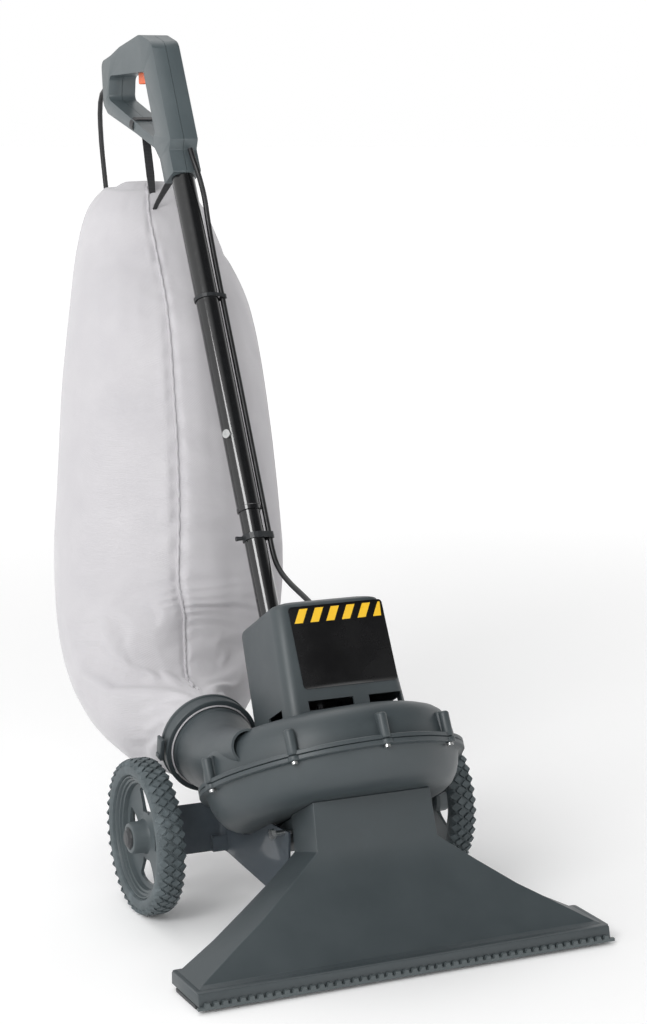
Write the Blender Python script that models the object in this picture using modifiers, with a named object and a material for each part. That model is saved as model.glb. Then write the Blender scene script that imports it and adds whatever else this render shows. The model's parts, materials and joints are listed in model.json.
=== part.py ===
"""Walk-behind bag sweeper vacuum, in metres, +Z up.

The origin is on the floor, under the middle of the machine. The nozzle faces -Y, the wheels turn about X.
"""

import math

import bmesh
import bpy
from mathutils import Matrix, Vector

# Frames
AXLE_Y = -0.1385
AXLE_HEIGHT = 0.100
MOTOR_LEAN = math.radians(28.25)
MOTOR_BASE = (0.0, -0.1283, 0.193)
HANDLE_LEAN = math.radians(27.72)
HANDLE_BASE = (0.0, -0.0138, 0.197)
GAP = 0.0003

# Floor nozzle
NOZZLE_HALF_WIDTH = 0.2725
NOZZLE_FRONT_Y = -0.350
NOZZLE_REAR_Y = -0.264
NOZZLE_BOTTOM_Z = 0.006
RIM_TOP_Z = 0.021
LEDGE_WIDTH = 0.011
NECK_HALF_WIDTH = 0.079
NECK_FRONT_Y = -0.2545
NECK_REAR_Y = -0.188
NECK_BASE_Z = 0.1365
NECK_LEAN = 0.30
HOOD_WALL = 0.003
HOOD_MID_HALF_WIDTH = 0.172
HOOD_MID_Z = 0.074
PLENUM_REAR = 0.055
PLENUM_DEPTH = 0.032
STRIP_TOOTH_PITCH = 0.0150
STRIP_DEPTH = 0.005
STRIP_HEIGHT = 0.0075
SKID_X = 0.215
SKID_SIZE = (0.016, 0.062, 0.0055)

# Volute housing, in the motor frame
VOLUTE_TOP = 0.055
VOLUTE_FLOOR = -0.051
FLANGE_WIDTH = 0.008
FLANGE_THICKNESS = 0.006
EYE_RADIUS = 0.045
MOTOR_HOLE_RADIUS = 0.040
VOLUTE_STEPS = 32
BOSS_RADIUS = 0.0062
BOSS_HEIGHT = 0.032
BOSS_ANGLES = (-172, -129, -90, -52, 12, 82)
SCREW_RADIUS = 0.0021
SCREW_HEAD_RADIUS = 0.0040

# Outlet spout, in the motor frame
SPOUT_RADIUS = 0.054
SPOUT_WALL = 0.003
SPOUT_RISE = math.radians(9.0)
SPOUT_END = (-0.105, 0.113, 0.070)
SPOUT_COLLAR_LENGTH = 0.036
SPOUT_SIDES = 20
CLAMP_THICKNESS = 0.006
CLAMP_LENGTH = 0.024

# Motor, in the motor frame
COVER_HALF_WIDTH_BASE = 0.081
COVER_HALF_WIDTH_TOP = 0.074
COVER_FRONT = -0.087
COVER_REAR = 0.070
COVER_TOP = 0.198
COVER_CROWN = 0.011
COVER_WALL = 0.003
COVER_FRONT_CORNER = 0.016
COVER_REAR_CORNER = 0.050
LABEL_SIZE = (0.128, 0.104)
LABEL_CENTRE = (0.008, 0.141)
LABEL_THICKNESS = 0.001
GLAND_AT = (0.030, 0.030)
GLAND_TOP = 0.2165
SHAFT_RADIUS = 0.004
STATOR_RADIUS = 0.046
STATOR_BORE = 0.029
ARMATURE_RADIUS = 0.0275
IMPELLER_RADIUS = 0.092
IMPELLER_BLADES = 8

# Bag
BAG_CLOTH = 0.0015
COLLAR_PLAY = 0.0009

# Chassis
TRACK_OUTER = 0.4437
WHEEL_RADIUS = 0.100
TYRE_WIDTH = 0.036
RIM_RADIUS = 0.0785
AXLE_RADIUS = 0.0058
BRACKET_SHEET = 0.003
BRACKET_END_X = 0.174
BRACKET_BEND_X = 0.105
BRACKET_NOSE_X = 0.086
BRACKET_FACE_Y = -0.024
BRACKET_NOSE_Y = -0.185
BRACKET_TOP_Z = 0.142

# Handle, in the handle frame
UPPER_TUBE_RADIUS = 0.016
LOWER_TUBE_RADIUS = 0.0145
TUBE_WALL = 0.0012
LOWER_TUBE_START = 0.0085
LOWER_TUBE_END = 0.455
UPPER_TUBE_START = 0.322
UPPER_TUBE_END = 0.900
SOCKET_RADIUS = 0.0205
SOCKET_HEIGHT = 0.060
TUBE_BOLT_Z = 0.430
SOCKET_BOLT_Z = 0.038
BOLT_TURN = math.radians(35)
TIE_Z = 0.630
CLIP_Z = 0.286
GRIP_HALF_THICKNESS = 0.0205
GRIP_WALL = 0.003

# Cords
HARNESS_RADIUS = 0.0037
CORD_RADIUS = 0.004
COIL_CENTRE = (0.150, 0.600)
COIL_RADII = (0.023, 0.055)
COIL_HEIGHT = 0.040

for stale in list(bpy.data.objects):
    bpy.data.objects.remove(stale)

PARTS = bpy.data.collections.new("bag_sweeper_vacuum")
CUTTERS = bpy.data.collections.new("cutters")
for group in (PARTS, CUTTERS):
    bpy.context.scene.collection.children.link(group)


def material(name, colour, roughness, metallic=0.0):
    made = bpy.data.materials.new(name)
    made.use_nodes = True
    shader = made.node_tree.nodes["Principled BSDF"]
    shader.inputs["Base Color"].default_value = (*colour, 1.0)
    shader.inputs["Roughness"].default_value = roughness
    shader.inputs["Metallic"].default_value = metallic
    return made


CHARCOAL = material("charcoal_plastic", (0.068, 0.086, 0.092), 0.45)
BLACK_PLASTIC = material("black_plastic", (0.02, 0.02, 0.022), 0.4)
BLACK_PAINT = material("black_paint", (0.012, 0.012, 0.013), 0.18)
LABEL_BLACK = material("label_black", (0.008, 0.008, 0.008), 0.3)
ORANGE = material("orange_plastic", (0.78, 0.12, 0.01), 0.4)
FELT = material("grey_felt", (0.70, 0.68, 0.70), 0.95)
STRAP = material("black_webbing", (0.015, 0.015, 0.015), 0.9)
TYRE = material("black_tyre", (0.035, 0.04, 0.042), 0.7)
CORD = material("black_cord", (0.015, 0.015, 0.016), 0.5)
ZINC = material("zinc_steel", (0.62, 0.62, 0.60), 0.3, 1.0)
STEEL = material("bare_steel", (0.45, 0.45, 0.45), 0.4, 1.0)
COPPER = material("copper", (0.72, 0.32, 0.18), 0.35, 1.0)
CARBON = material("carbon", (0.02, 0.02, 0.02), 0.8)


def empty(name, matrix, parent=None):
    made = bpy.data.objects.new(name, None)
    made.parent = parent
    made.matrix_basis = matrix
    PARTS.objects.link(made)
    return made


def frame_matrix(base, lean=0.0):
    return Matrix.Translation(base) @ Matrix.Rotation(-lean, 4, "X")


BODY = empty("body_frame", Matrix.Translation((0.0, AXLE_Y, 0.0)))
MOTOR = empty("motor_frame", frame_matrix(MOTOR_BASE, MOTOR_LEAN), BODY)
HANDLE = empty("handle_frame", frame_matrix(HANDLE_BASE, HANDLE_LEAN), BODY)
SPOUT = empty("spout_frame", frame_matrix(SPOUT_END, math.pi / 2 - SPOUT_RISE - MOTOR_LEAN), MOTOR)


def place(obj, frame, finish=None):
    """Put an object on a frame, among the parts if it has a finish and else among the cutters."""
    obj.parent = frame
    if finish is None:
        obj.hide_render = True
        obj.display_type = "WIRE"
        CUTTERS.objects.link(obj)
    else:
        obj.data.materials.append(finish)
        PARTS.objects.link(obj)
    return obj


def from_bmesh(name, bm, frame, finish=None, smooth=True):
    mesh = bpy.data.meshes.new(name)
    bmesh.ops.recalc_face_normals(bm, faces=bm.faces)
    bm.to_mesh(mesh)
    bm.free()
    if smooth:
        mesh.shade_smooth()
        mesh.set_sharp_from_angle(angle=math.radians(35))
    return place(bpy.data.objects.new(name, mesh), frame, finish)


def box(name, size, centre, frame, finish=None, turn=0.0):
    bm = bmesh.new()
    shape = Matrix.Translation(centre) @ Matrix.Rotation(turn, 4, "X") @ Matrix.Diagonal((*size, 1.0))
    bmesh.ops.create_cube(bm, size=1.0, matrix=shape)
    return from_bmesh(name, bm, frame, finish, smooth=False)


def rod(name, radius, start, end, frame, finish=None, sides=24, end_radius=None):
    """A closed cylinder or cone from one point to another."""
    start, end = Vector(start), Vector(end)
    along = end - start
    turn = along.to_track_quat("Z", "Y").to_matrix().to_4x4()
    bm = bmesh.new()
    bmesh.ops.create_cone(
        bm, cap_ends=True, segments=sides, radius1=radius,
        radius2=radius if end_radius is None else end_radius,
        depth=along.length, matrix=Matrix.Translation((start + end) / 2) @ turn,
    )
    return from_bmesh(name, bm, frame, finish)


def turned(name, profile, frame, finish=None, steps=36, closed=False):
    """A profile of (radius, height) points, top to bottom down its outer side, turned about Z."""
    mesh = bpy.data.meshes.new(name)
    edges = [(i, i + 1) for i in range(len(profile) - 1)]
    if closed:
        edges.append((len(profile) - 1, 0))
    mesh.from_pydata([(radius, 0.0, height) for radius, height in profile], edges, [])
    obj = place(bpy.data.objects.new(name, mesh), frame, finish)
    screw = obj.modifiers.new("turn", "SCREW")
    screw.steps = steps
    screw.render_steps = steps
    screw.use_merge_vertices = True
    screw.merge_threshold = 0.00005
    return obj


def loft(name, rings, frame, finish=None, capped=True):
    """Bridge equal rings of points, with both ends capped or both left open."""
    bm = bmesh.new()
    rows = [[bm.verts.new(point) for point in ring] for ring in rings]
    count = len(rows[0])
    for low, high in zip(rows, rows[1:]):
        for i in range(count):
            j = (i + 1) % count
            bm.faces.new((low[i], low[j], high[j], high[i]))
    if capped:
        bm.faces.new(rows[0])
        bm.faces.new(rows[-1])
    return from_bmesh(name, bm, frame, finish)


def tube(name, points, radius, frame, finish=None, resolution=3):
    """A round bar along a polyline, made a closed mesh."""
    curve = bpy.data.curves.new(name, "CURVE")
    curve.dimensions = "3D"
    curve.bevel_depth = radius
    curve.bevel_resolution = resolution
    curve.use_fill_caps = True
    spline = curve.splines.new("POLY")
    spline.points.add(len(points) - 1)
    for knot, point in zip(spline.points, points):
        knot.co = (*point, 1.0)
    return welded(name, curve, frame, finish)


def plate(name, outlines, thickness, frame, finish=None, turn=None):
    """A flat outline, with any holes, extruded to a thickness about its own plane and turned into place."""
    curve = bpy.data.curves.new(name, "CURVE")
    curve.dimensions = "2D"
    curve.fill_mode = "BOTH"
    curve.extrude = thickness / 2
    for outline in outlines:
        spline = curve.splines.new("POLY")
        spline.points.add(len(outline) - 1)
        spline.use_cyclic_u = True
        for knot, (x, y) in zip(spline.points, outline):
            knot.co = (x, y, 0.0, 1.0)
    obj = welded(name, curve, frame, finish)
    if turn is not None:
        obj.data.transform(turn)
    return obj


def welded(name, curve, frame, finish):
    """Turn a curve into a mesh whose caps are joined to its sides."""
    source = bpy.data.objects.new(name + "_curve", curve)
    bpy.context.scene.collection.objects.link(source)
    bpy.context.view_layer.update()
    mesh = bpy.data.meshes.new_from_object(source.evaluated_get(bpy.context.evaluated_depsgraph_get()))
    bpy.data.objects.remove(source)
    mesh.materials.clear()
    bm = bmesh.new()
    bm.from_mesh(mesh)
    bmesh.ops.remove_doubles(bm, verts=bm.verts, dist=0.00002)
    bpy.data.meshes.remove(mesh)
    return from_bmesh(name, bm, frame, finish)


def combine(target, other, operation):
    step = target.modifiers.new(operation.lower(), "BOOLEAN")
    step.operation = operation
    step.object = other
    step.solver = "EXACT"


def cut(target, *cutters):
    for cutter in cutters:
        combine(target, cutter, "DIFFERENCE")


def join(target, *others):
    for other in others:
        combine(target, other, "UNION")


def soften(obj, width, segments=2, angle=30):
    bevel = obj.modifiers.new("soften", "BEVEL")
    bevel.width = width
    bevel.segments = segments
    bevel.limit_method = "ANGLE"
    bevel.angle_limit = math.radians(angle)
    bevel.use_clamp_overlap = True


def shell(obj, thickness, offset=-1.0):
    wall = obj.modifiers.new("wall", "SOLIDIFY")
    wall.thickness = thickness
    wall.offset = offset
    wall.use_even_offset = True


def fillet(corners, radii, segments=4, cyclic=True):
    """Round each corner of a polyline to its own radius."""
    points = []
    count = len(corners)
    for i, (corner, radius) in enumerate(zip(corners, radii)):
        here = Vector(corner)
        if radius == 0.0 or (not cyclic and i in (0, count - 1)):
            points.append(here)
            continue
        back = (Vector(corners[i - 1]) - here).normalized()
        ahead = (Vector(corners[(i + 1) % count]) - here).normalized()
        reach = radius / math.tan(back.angle(ahead) / 2)
        centre = here + (back + ahead).normalized() * radius / math.sin(back.angle(ahead) / 2)
        first = (here + back * reach - centre).normalized()
        last = (here + ahead * reach - centre).normalized()
        points += [centre + radius * first.slerp(last, k / segments) for k in range(segments + 1)]
    return [tuple(point) for point in points]


def smooth_path(points, spacing):
    """Catmull-Rom curve through hand-set points, read off at about an even spacing."""
    knots = [Vector(point) for point in points]
    knots = [2 * knots[0] - knots[1], *knots, 2 * knots[-1] - knots[-2]]
    path = []
    for a, b, c, d in zip(knots, knots[1:], knots[2:], knots[3:]):
        steps = max(1, round((c - b).length / spacing))
        for k in range(steps):
            t = k / steps
            path.append(0.5 * (2 * b + (c - a) * t + (2 * a - 5 * b + 4 * c - d) * t * t
                               + (3 * b - a - 3 * c + d) * t * t * t))
    path.append(knots[-2])
    return path


# ---------------------------------------------------------------- floor nozzle


def hood_rings(inset):
    """The nozzle's stations from mouth to neck as (half width, front y, rear y, front z, rear z)."""
    neck_rise = 0.085
    lean = NECK_LEAN * neck_rise
    stations = (
        (NOZZLE_HALF_WIDTH, NOZZLE_FRONT_Y, NOZZLE_REAR_Y, NOZZLE_BOTTOM_Z, NOZZLE_BOTTOM_Z),
        (NOZZLE_HALF_WIDTH, NOZZLE_FRONT_Y + 0.004, NOZZLE_REAR_Y, RIM_TOP_Z, RIM_TOP_Z),
        (NOZZLE_HALF_WIDTH - LEDGE_WIDTH, NOZZLE_FRONT_Y + 0.020, NOZZLE_REAR_Y - 0.004,
         RIM_TOP_Z + 0.003, RIM_TOP_Z + 0.003),
        (HOOD_MID_HALF_WIDTH, -0.2925, -0.231, HOOD_MID_Z, HOOD_MID_Z - 0.007),
        (NECK_HALF_WIDTH + 0.002, NECK_FRONT_Y, NECK_REAR_Y, NECK_BASE_Z, NECK_BASE_Z - 0.019),
        (NECK_HALF_WIDTH - 0.001, NECK_FRONT_Y + lean, NECK_REAR_Y + lean,
         NECK_BASE_Z + neck_rise, NECK_BASE_Z + neck_rise - 0.019),
    )
    rings = []
    for i, (half, front, rear, front_z, rear_z) in enumerate(stations):
        half, front, rear = half - inset, front + inset, rear - inset
        drop = inset * 2 if i == 0 else (inset if i < 4 else 0.0)
        rings.append([
            (-half, front, front_z - drop), (half, front, front_z - drop),
            (half, rear, rear_z - drop), (-half, rear, rear_z - drop),
        ])
    return rings


def make_floor_nozzle():
    floor = VOLUTE_FLOOR - GAP
    front = -0.085
    size = (2 * NECK_HALF_WIDTH - 0.006, PLENUM_REAR - front, PLENUM_DEPTH)
    middle = (front + PLENUM_REAR) / 2
    hood = loft("floor_nozzle", hood_rings(0.0), BODY, CHARCOAL)
    join(hood, box("plenum_outer", size, (0.0, middle, floor - PLENUM_DEPTH / 2), MOTOR))
    cut(
        hood,
        loft("hood_passage", hood_rings(HOOD_WALL), BODY),
        box("plenum_passage", (size[0] - 2 * HOOD_WALL, size[1] - 2 * HOOD_WALL, PLENUM_DEPTH),
            (0.0, middle, floor - PLENUM_DEPTH / 2 + HOOD_WALL), MOTOR),
        box("hood_top_trim", (0.30, 0.30, 0.10), (0.0, -0.03, floor + 0.05), MOTOR),
    )
    for side in (-1, 1):
        cut(hood, rod(f"hood_bolt_hole_{side}", 0.0034, (side * 0.060, -0.015, HOOD_BOLT_Z),
                      (side * 0.110, -0.015, HOOD_BOLT_Z), MOTOR, sides=16))
    return hood


HOOD_BOLT_Z = VOLUTE_FLOOR - 0.018


def make_hood_bolts():
    for side, name in ((-1, "left"), (1, "right")):
        wall = side * (NECK_HALF_WIDTH - 0.003)
        outside = side * 0.1055
        bolt = rod(f"hood_bolt_{name}", 0.0030, (wall - side * 0.006, -0.015, HOOD_BOLT_Z),
                   (outside, -0.015, HOOD_BOLT_Z), MOTOR, ZINC, 16)
        join(bolt, rod(f"hood_bolt_head_{name}", 0.0065, (outside - side * 0.004, -0.015, HOOD_BOLT_Z),
                       (outside + side * 0.001, -0.015, HOOD_BOLT_Z), MOTOR, sides=6))


def make_lip_strip():
    """The toothed strip that runs along the foot of the nozzle's front face."""
    half = NOZZLE_HALF_WIDTH + 0.0035
    teeth = int(2 * half / STRIP_TOOTH_PITCH)
    start = -teeth * STRIP_TOOTH_PITCH / 2
    outline = [(half, 0.0), (-half, 0.0), (-half, STRIP_HEIGHT * 0.55)]
    for i in range(teeth):
        left = start + i * STRIP_TOOTH_PITCH
        outline += [
            (left + 0.0025, STRIP_HEIGHT * 0.55), (left + 0.0045, STRIP_HEIGHT),
            (left + 0.0105, STRIP_HEIGHT), (left + 0.0125, STRIP_HEIGHT * 0.55),
        ]
    outline.append((half, STRIP_HEIGHT * 0.55))
    turn = Matrix.Translation((0.0, NOZZLE_FRONT_Y - STRIP_DEPTH / 2 - GAP, NOZZLE_BOTTOM_Z - 0.002))
    return plate("nozzle_lip_strip", [outline], STRIP_DEPTH, BODY, CHARCOAL,
                 turn @ Matrix.Rotation(math.pi / 2, 4, "X"))


def make_skids():
    for side, name in ((-1, "left"), (1, "right")):
        middle = (NOZZLE_FRONT_Y + NOZZLE_REAR_Y) / 2
        skid = box(f"skid_{name}", (NOZZLE_HALF_WIDTH - SKID_X + SKID_SIZE[0], SKID_SIZE[1], SKID_SIZE[2]),
                   (side * (NOZZLE_HALF_WIDTH + SKID_X - SKID_SIZE[0]) / 2, middle, SKID_SIZE[2] / 2),
                   BODY, BLACK_PLASTIC)
        soften(skid, 0.0015)


# ---------------------------------------------------------------- volute housing

SPIRAL = ((-240, 0.146), (-210, 0.160), (-172, 0.171), (-129, 0.166), (-90, 0.162), (-52, 0.160),
          (0, 0.157), (60, 0.149), (120, 0.146))


def spiral_radius(angle):
    """The housing's wall radius at an angle in degrees: it grows clockwise from the tongue to the outlet."""
    angle = (angle + 240) % 360 - 240
    for (a, low), (b, high) in zip(SPIRAL, SPIRAL[1:]):
        if a <= angle <= b:
            blend = (1 - math.cos(math.pi * (angle - a) / (b - a))) / 2
            return low + (high - low) * blend
    return SPIRAL[-1][1]


def spiral_solid(name, profile, finish=None, grow=0.0):
    """A closed solid whose wall follows the spiral at each (inset, height) of its profile."""
    rings = []
    for inset, height in profile:
        ring = []
        for k in range(VOLUTE_STEPS):
            angle = 360 * k / VOLUTE_STEPS
            radius = spiral_radius(angle) - inset + grow
            ring.append((radius * math.cos(math.radians(angle)), radius * math.sin(math.radians(angle)), height))
        rings.append(ring)
    return loft(name, rings, MOTOR, finish)


UPPER_PROFILE = (
    (-FLANGE_WIDTH, GAP), (-FLANGE_WIDTH, FLANGE_THICKNESS), (0.001, FLANGE_THICKNESS + 0.0005),
    (0.003, 0.028), (0.009, 0.043), (0.020, VOLUTE_TOP - 0.003), (0.036, VOLUTE_TOP),
)
LOWER_PROFILE = (
    (-FLANGE_WIDTH, -GAP), (-FLANGE_WIDTH, -FLANGE_THICKNESS), (0.001, -FLANGE_THICKNESS - 0.0005),
    (0.003, -0.020), (0.010, -0.034), (0.024, VOLUTE_FLOOR + 0.005), (0.043, VOLUTE_FLOOR),
)
CAVITY_PROFILE = (
    (0.046, VOLUTE_FLOOR + 0.003), (0.0265, VOLUTE_FLOOR + 0.008), (0.013, -0.0325), (0.006, -0.019),
    (0.004, 0.0), (0.006, 0.027), (0.012, 0.0415), (0.0225, VOLUTE_TOP - 0.006), (0.038, VOLUTE_TOP - 0.003),
)


def boss_point(angle, outward=0.0050):
    radius = spiral_radius(angle) + outward
    return radius * math.cos(math.radians(angle)), radius * math.sin(math.radians(angle))


def ring_of(centre, along, radius, sides):
    """Points of a circle square to a direction in the YZ plane, or near it."""
    along = Vector(along).normalized()
    across = Vector((1.0, 0.0, 0.0))
    across = (across - along * across.dot(along)).normalized()
    upward = along.cross(across)
    ring = []
    for k in range(sides):
        angle = 2 * math.pi * k / sides
        ring.append(Vector(centre) + radius * (math.cos(angle) * across + math.sin(angle) * upward))
    return ring


def spout_rings(inset, overrun):
    """Circles along the outlet, from inside the housing to the bag collar."""
    rise = MOTOR_LEAN + SPOUT_RISE
    along = Vector((0.0, math.cos(rise), math.sin(rise)))
    end = Vector(SPOUT_END)
    stations = (
        ((-0.137, -0.075, 0.030), 0.022), ((-0.131, -0.020, 0.034), 0.032), ((-0.124, 0.035, 0.043), 0.040),
        ((-0.113, 0.078, 0.056), 0.048), (end, SPOUT_RADIUS), (end + along * (SPOUT_COLLAR_LENGTH + overrun), SPOUT_RADIUS),
    )
    centres = [Vector(centre) for centre, _ in stations]
    rings = []
    for i, (centre, radius) in enumerate(stations):
        direction = along if i >= 4 else centres[i + 1] - centres[max(i - 1, 0)]
        rings.append(ring_of(centre, direction, radius - inset, SPOUT_SIDES))
    return rings


def make_volute():
    upper = spiral_solid("upper_volute", UPPER_PROFILE, CHARCOAL)
    join(upper, loft("spout_outer", spout_rings(0.0, 0.0), MOTOR))
    lower = spiral_solid("lower_volute", LOWER_PROFILE, CHARCOAL)
    for i, angle in enumerate(BOSS_ANGLES):
        x, y = boss_point(angle)
        web = boss_point(angle, -0.0020)
        join(upper, rod(f"boss_{i}", BOSS_RADIUS, (x, y, GAP), (x, y, BOSS_HEIGHT), MOTOR, sides=12),
             rod(f"boss_web_{i}", 0.0045, (*web, 0.002), (*web, BOSS_HEIGHT - 0.001), MOTOR, sides=8))
        join(lower, rod(f"ear_{i}", BOSS_RADIUS + 0.001, (x, y, -GAP), (x, y, -FLANGE_THICKNESS), MOTOR, sides=12))
    cavity = spiral_solid("volute_cavity", CAVITY_PROFILE)
    cut(upper, cavity, loft("spout_bore", spout_rings(SPOUT_WALL, 0.01), MOTOR),
        rod("motor_hole", MOTOR_HOLE_RADIUS, (0, 0, 0.03), (0, 0, 0.08), MOTOR, sides=28))
    cut(lower, cavity, rod("eye_hole", EYE_RADIUS, (0, 0, -0.07), (0, 0, -0.02), MOTOR, sides=28))
    for i, angle in enumerate(BOSS_ANGLES):
        x, y = boss_point(angle)
        hole = rod(f"screw_hole_{i}", SCREW_RADIUS + GAP, (x, y, -0.010), (x, y, 0.022), MOTOR, sides=12)
        cut(upper, hole)
        cut(lower, hole)
        screw = rod(f"volute_screw_{i + 1}", SCREW_RADIUS, (x, y, -FLANGE_THICKNESS - 0.002), (x, y, 0.0205),
                    MOTOR, ZINC, 12)
        head = -FLANGE_THICKNESS - 0.0005 - GAP
        join(screw, rod(f"screw_head_{i}", SCREW_HEAD_RADIUS, (x, y, head - 0.0032), (x, y, head), MOTOR, sides=14))


# ---------------------------------------------------------------- motor


def cover_ring(height, inset, half_width):
    """A rounded section of the motor cover, soft at the front corners and rounder at the rear."""
    half = half_width - inset
    front, rear = COVER_FRONT + inset, COVER_REAR - inset
    corners = ((-half, front), (half, front), (half, rear), (-half, rear))
    front_r, rear_r = COVER_FRONT_CORNER, COVER_REAR_CORNER - inset * 0.6
    outline = fillet(corners, (front_r, front_r, rear_r, rear_r), 4)
    return [(x, y, height) for x, y in outline]


def make_motor_cover():
    base = VOLUTE_TOP + GAP
    rings = [cover_ring(base, 0.0, COVER_HALF_WIDTH_BASE), cover_ring(COVER_TOP, 0.0, COVER_HALF_WIDTH_TOP)]
    for share, inset in ((0.35, 0.0035), (0.75, 0.016), (1.0, 0.042)):
        rings.append(cover_ring(COVER_TOP + COVER_CROWN * share, inset, COVER_HALF_WIDTH_TOP))
    cover = loft("motor_cover", rings, MOTOR, CHARCOAL, capped=False)
    bm = bmesh.new()
    bm.from_mesh(cover.data)
    top = [edge for edge in bm.edges if edge.is_boundary and edge.verts[0].co.z > COVER_TOP]
    bmesh.ops.contextual_create(bm, geom=top)
    bmesh.ops.recalc_face_normals(bm, faces=bm.faces)
    bm.to_mesh(cover.data)
    bm.free()
    shell(cover, COVER_WALL)
    for i, x in enumerate((-0.031, 0.037)):
        cut(cover, box(f"front_slot_{i}", (0.052, 0.03, 0.010), (x, COVER_FRONT, base + 0.012), MOTOR))
    for i, x in enumerate((-COVER_HALF_WIDTH_BASE, COVER_HALF_WIDTH_BASE)):
        cut(cover, box(f"side_slot_{i}", (0.03, 0.045, 0.010), (x, -0.040, base + 0.012), MOTOR))
    cut(cover, rod("gland_hole", 0.0062, (*GLAND_AT, COVER_TOP - 0.013), (*GLAND_AT, GLAND_TOP + 0.01), MOTOR, sides=16))


def make_label():
    """The plain black panel on the cover's front face."""
    width, height = LABEL_SIZE
    corners = ((-width / 2, -height / 2), (width / 2, -height / 2), (width / 2, height / 2), (-width / 2, height / 2))
    turn = Matrix.Translation((LABEL_CENTRE[0], COVER_FRONT - GAP - LABEL_THICKNESS / 2, LABEL_CENTRE[1]))
    plate("cover_label", [fillet(corners, (0.005,) * 4)], LABEL_THICKNESS, MOTOR, LABEL_BLACK,
          turn @ Matrix.Rotation(math.pi / 2, 4, "X"))


def washer(name, outer, inner, low, high, finish, frame=MOTOR, steps=24):
    return turned(name, ((inner, high), (outer, high), (outer, low), (inner, low)), frame, finish, steps, closed=True)


def make_motor():
    base = VOLUTE_TOP + GAP
    bore = SHAFT_RADIUS + GAP
    washer("motor_plate", 0.056, 0.0118, base, base + 0.003, STEEL)
    washer("bearing_lower", 0.0112, bore, base - 0.004, base + 0.005, ZINC, steps=24)
    washer("cooling_fan", 0.040, bore, 0.066, 0.074, BLACK_PLASTIC)
    washer("stator_core", STATOR_RADIUS, STATOR_BORE, 0.084, 0.136, STEEL)
    washer("armature_core", ARMATURE_RADIUS, bore, 0.086, 0.134, STEEL)
    washer("commutator", 0.013, bore, 0.139, 0.155, COPPER, steps=24)
    washer("bearing_upper", 0.0112, bore, 0.161, 0.170, ZINC, steps=24)
    rod("motor_shaft", SHAFT_RADIUS, (0, 0, -0.034), (0, 0, 0.172), MOTOR, STEEL, 20)
    bracket = box("end_bracket", (0.100, 0.026, 0.006), (0, 0, 0.166), MOTOR, STEEL)
    cut(bracket, rod("bearing_seat", 0.0116, (0, 0, 0.15), (0, 0, 0.18), MOTOR, sides=24))
    for side, name in ((-1, "left"), (1, "right")):
        x = side * 0.046
        join(bracket, box(f"bracket_leg_{name}", (0.008, 0.020, 0.030), (x, 0, 0.1535), MOTOR))
        box(f"brush_{name}", (0.022, 0.006, 0.010), (side * 0.0245, 0, 0.147), MOTOR, CARBON)


def make_impeller():
    """A backplate with curved blades on its underside, and a hub on the shaft."""
    impeller = rod("impeller", IMPELLER_RADIUS, (0, 0, 0.006), (0, 0, 0.009), MOTOR, BLACK_PLASTIC, 32)
    join(impeller, rod("impeller_hub", 0.016, (0, 0, -0.024), (0, 0, 0.0085), MOTOR, sides=20))
    for k in range(IMPELLER_BLADES):
        turn = 2 * math.pi * k / IMPELLER_BLADES
        outline = []
        for offset, order in ((0.0012, 1), (-0.0012, -1)):
            arc = []
            for step in range(5):
                radius = 0.020 + (IMPELLER_RADIUS - 0.022) * step / 4
                sweep = turn + 0.55 * (step / 4) ** 1.2
                normal = sweep + math.pi / 2
                arc.append((radius * math.cos(sweep) + offset * math.cos(normal),
                            radius * math.sin(sweep) + offset * math.sin(normal)))
            outline += arc[::order]
        blade = plate(f"blade_{k}", [outline], 0.030, MOTOR, turn=Matrix.Translation((0, 0, -0.008)))
        join(impeller, blade)
    cut(impeller, rod("impeller_bore", SHAFT_RADIUS + GAP, (0, 0, -0.05), (0, 0, 0.05), MOTOR, sides=20))


# ---------------------------------------------------------------- bag

BAG_RINGS = (
    # centre x, y, z, tilt of the section from upright, half width, half depth
    (-0.103, 0.105, 0.212, 12, 0.066, 0.064),
    (-0.096, 0.155, 0.223, 22, 0.095, 0.080),
    (-0.080, 0.215, 0.256, 42, 0.126, 0.112),
    (-0.060, 0.275, 0.316, 66, 0.144, 0.146),
    (-0.044, 0.322, 0.395, 86, 0.148, 0.166),
    (-0.030, 0.360, 0.500, 90, 0.143, 0.172),
    (-0.020, 0.392, 0.620, 90, 0.135, 0.155),
    (-0.010, 0.428, 0.730, 90, 0.122, 0.130),
    (-0.004, 0.480, 0.800, 90, 0.102, 0.112),
    (-0.003, 0.499, 0.855, 90, 0.084, 0.082),
    (-0.001, 0.506, 0.885, 90, 0.062, 0.058),
    (0.000, 0.509, 0.906, 90, 0.032, 0.030),
)


def bag_section(centre, tilt, half_width, half_depth):
    tilt = math.radians(tilt)
    inner = Vector((0.0, -math.sin(tilt), math.cos(tilt)))
    ring = []
    for k in range(SPOUT_SIDES):
        angle = 2 * math.pi * k / SPOUT_SIDES
        ring.append(Vector(centre) + Vector((half_width * math.cos(angle), 0.0, 0.0))
                    + inner * half_depth * math.sin(angle))
    return ring


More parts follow.
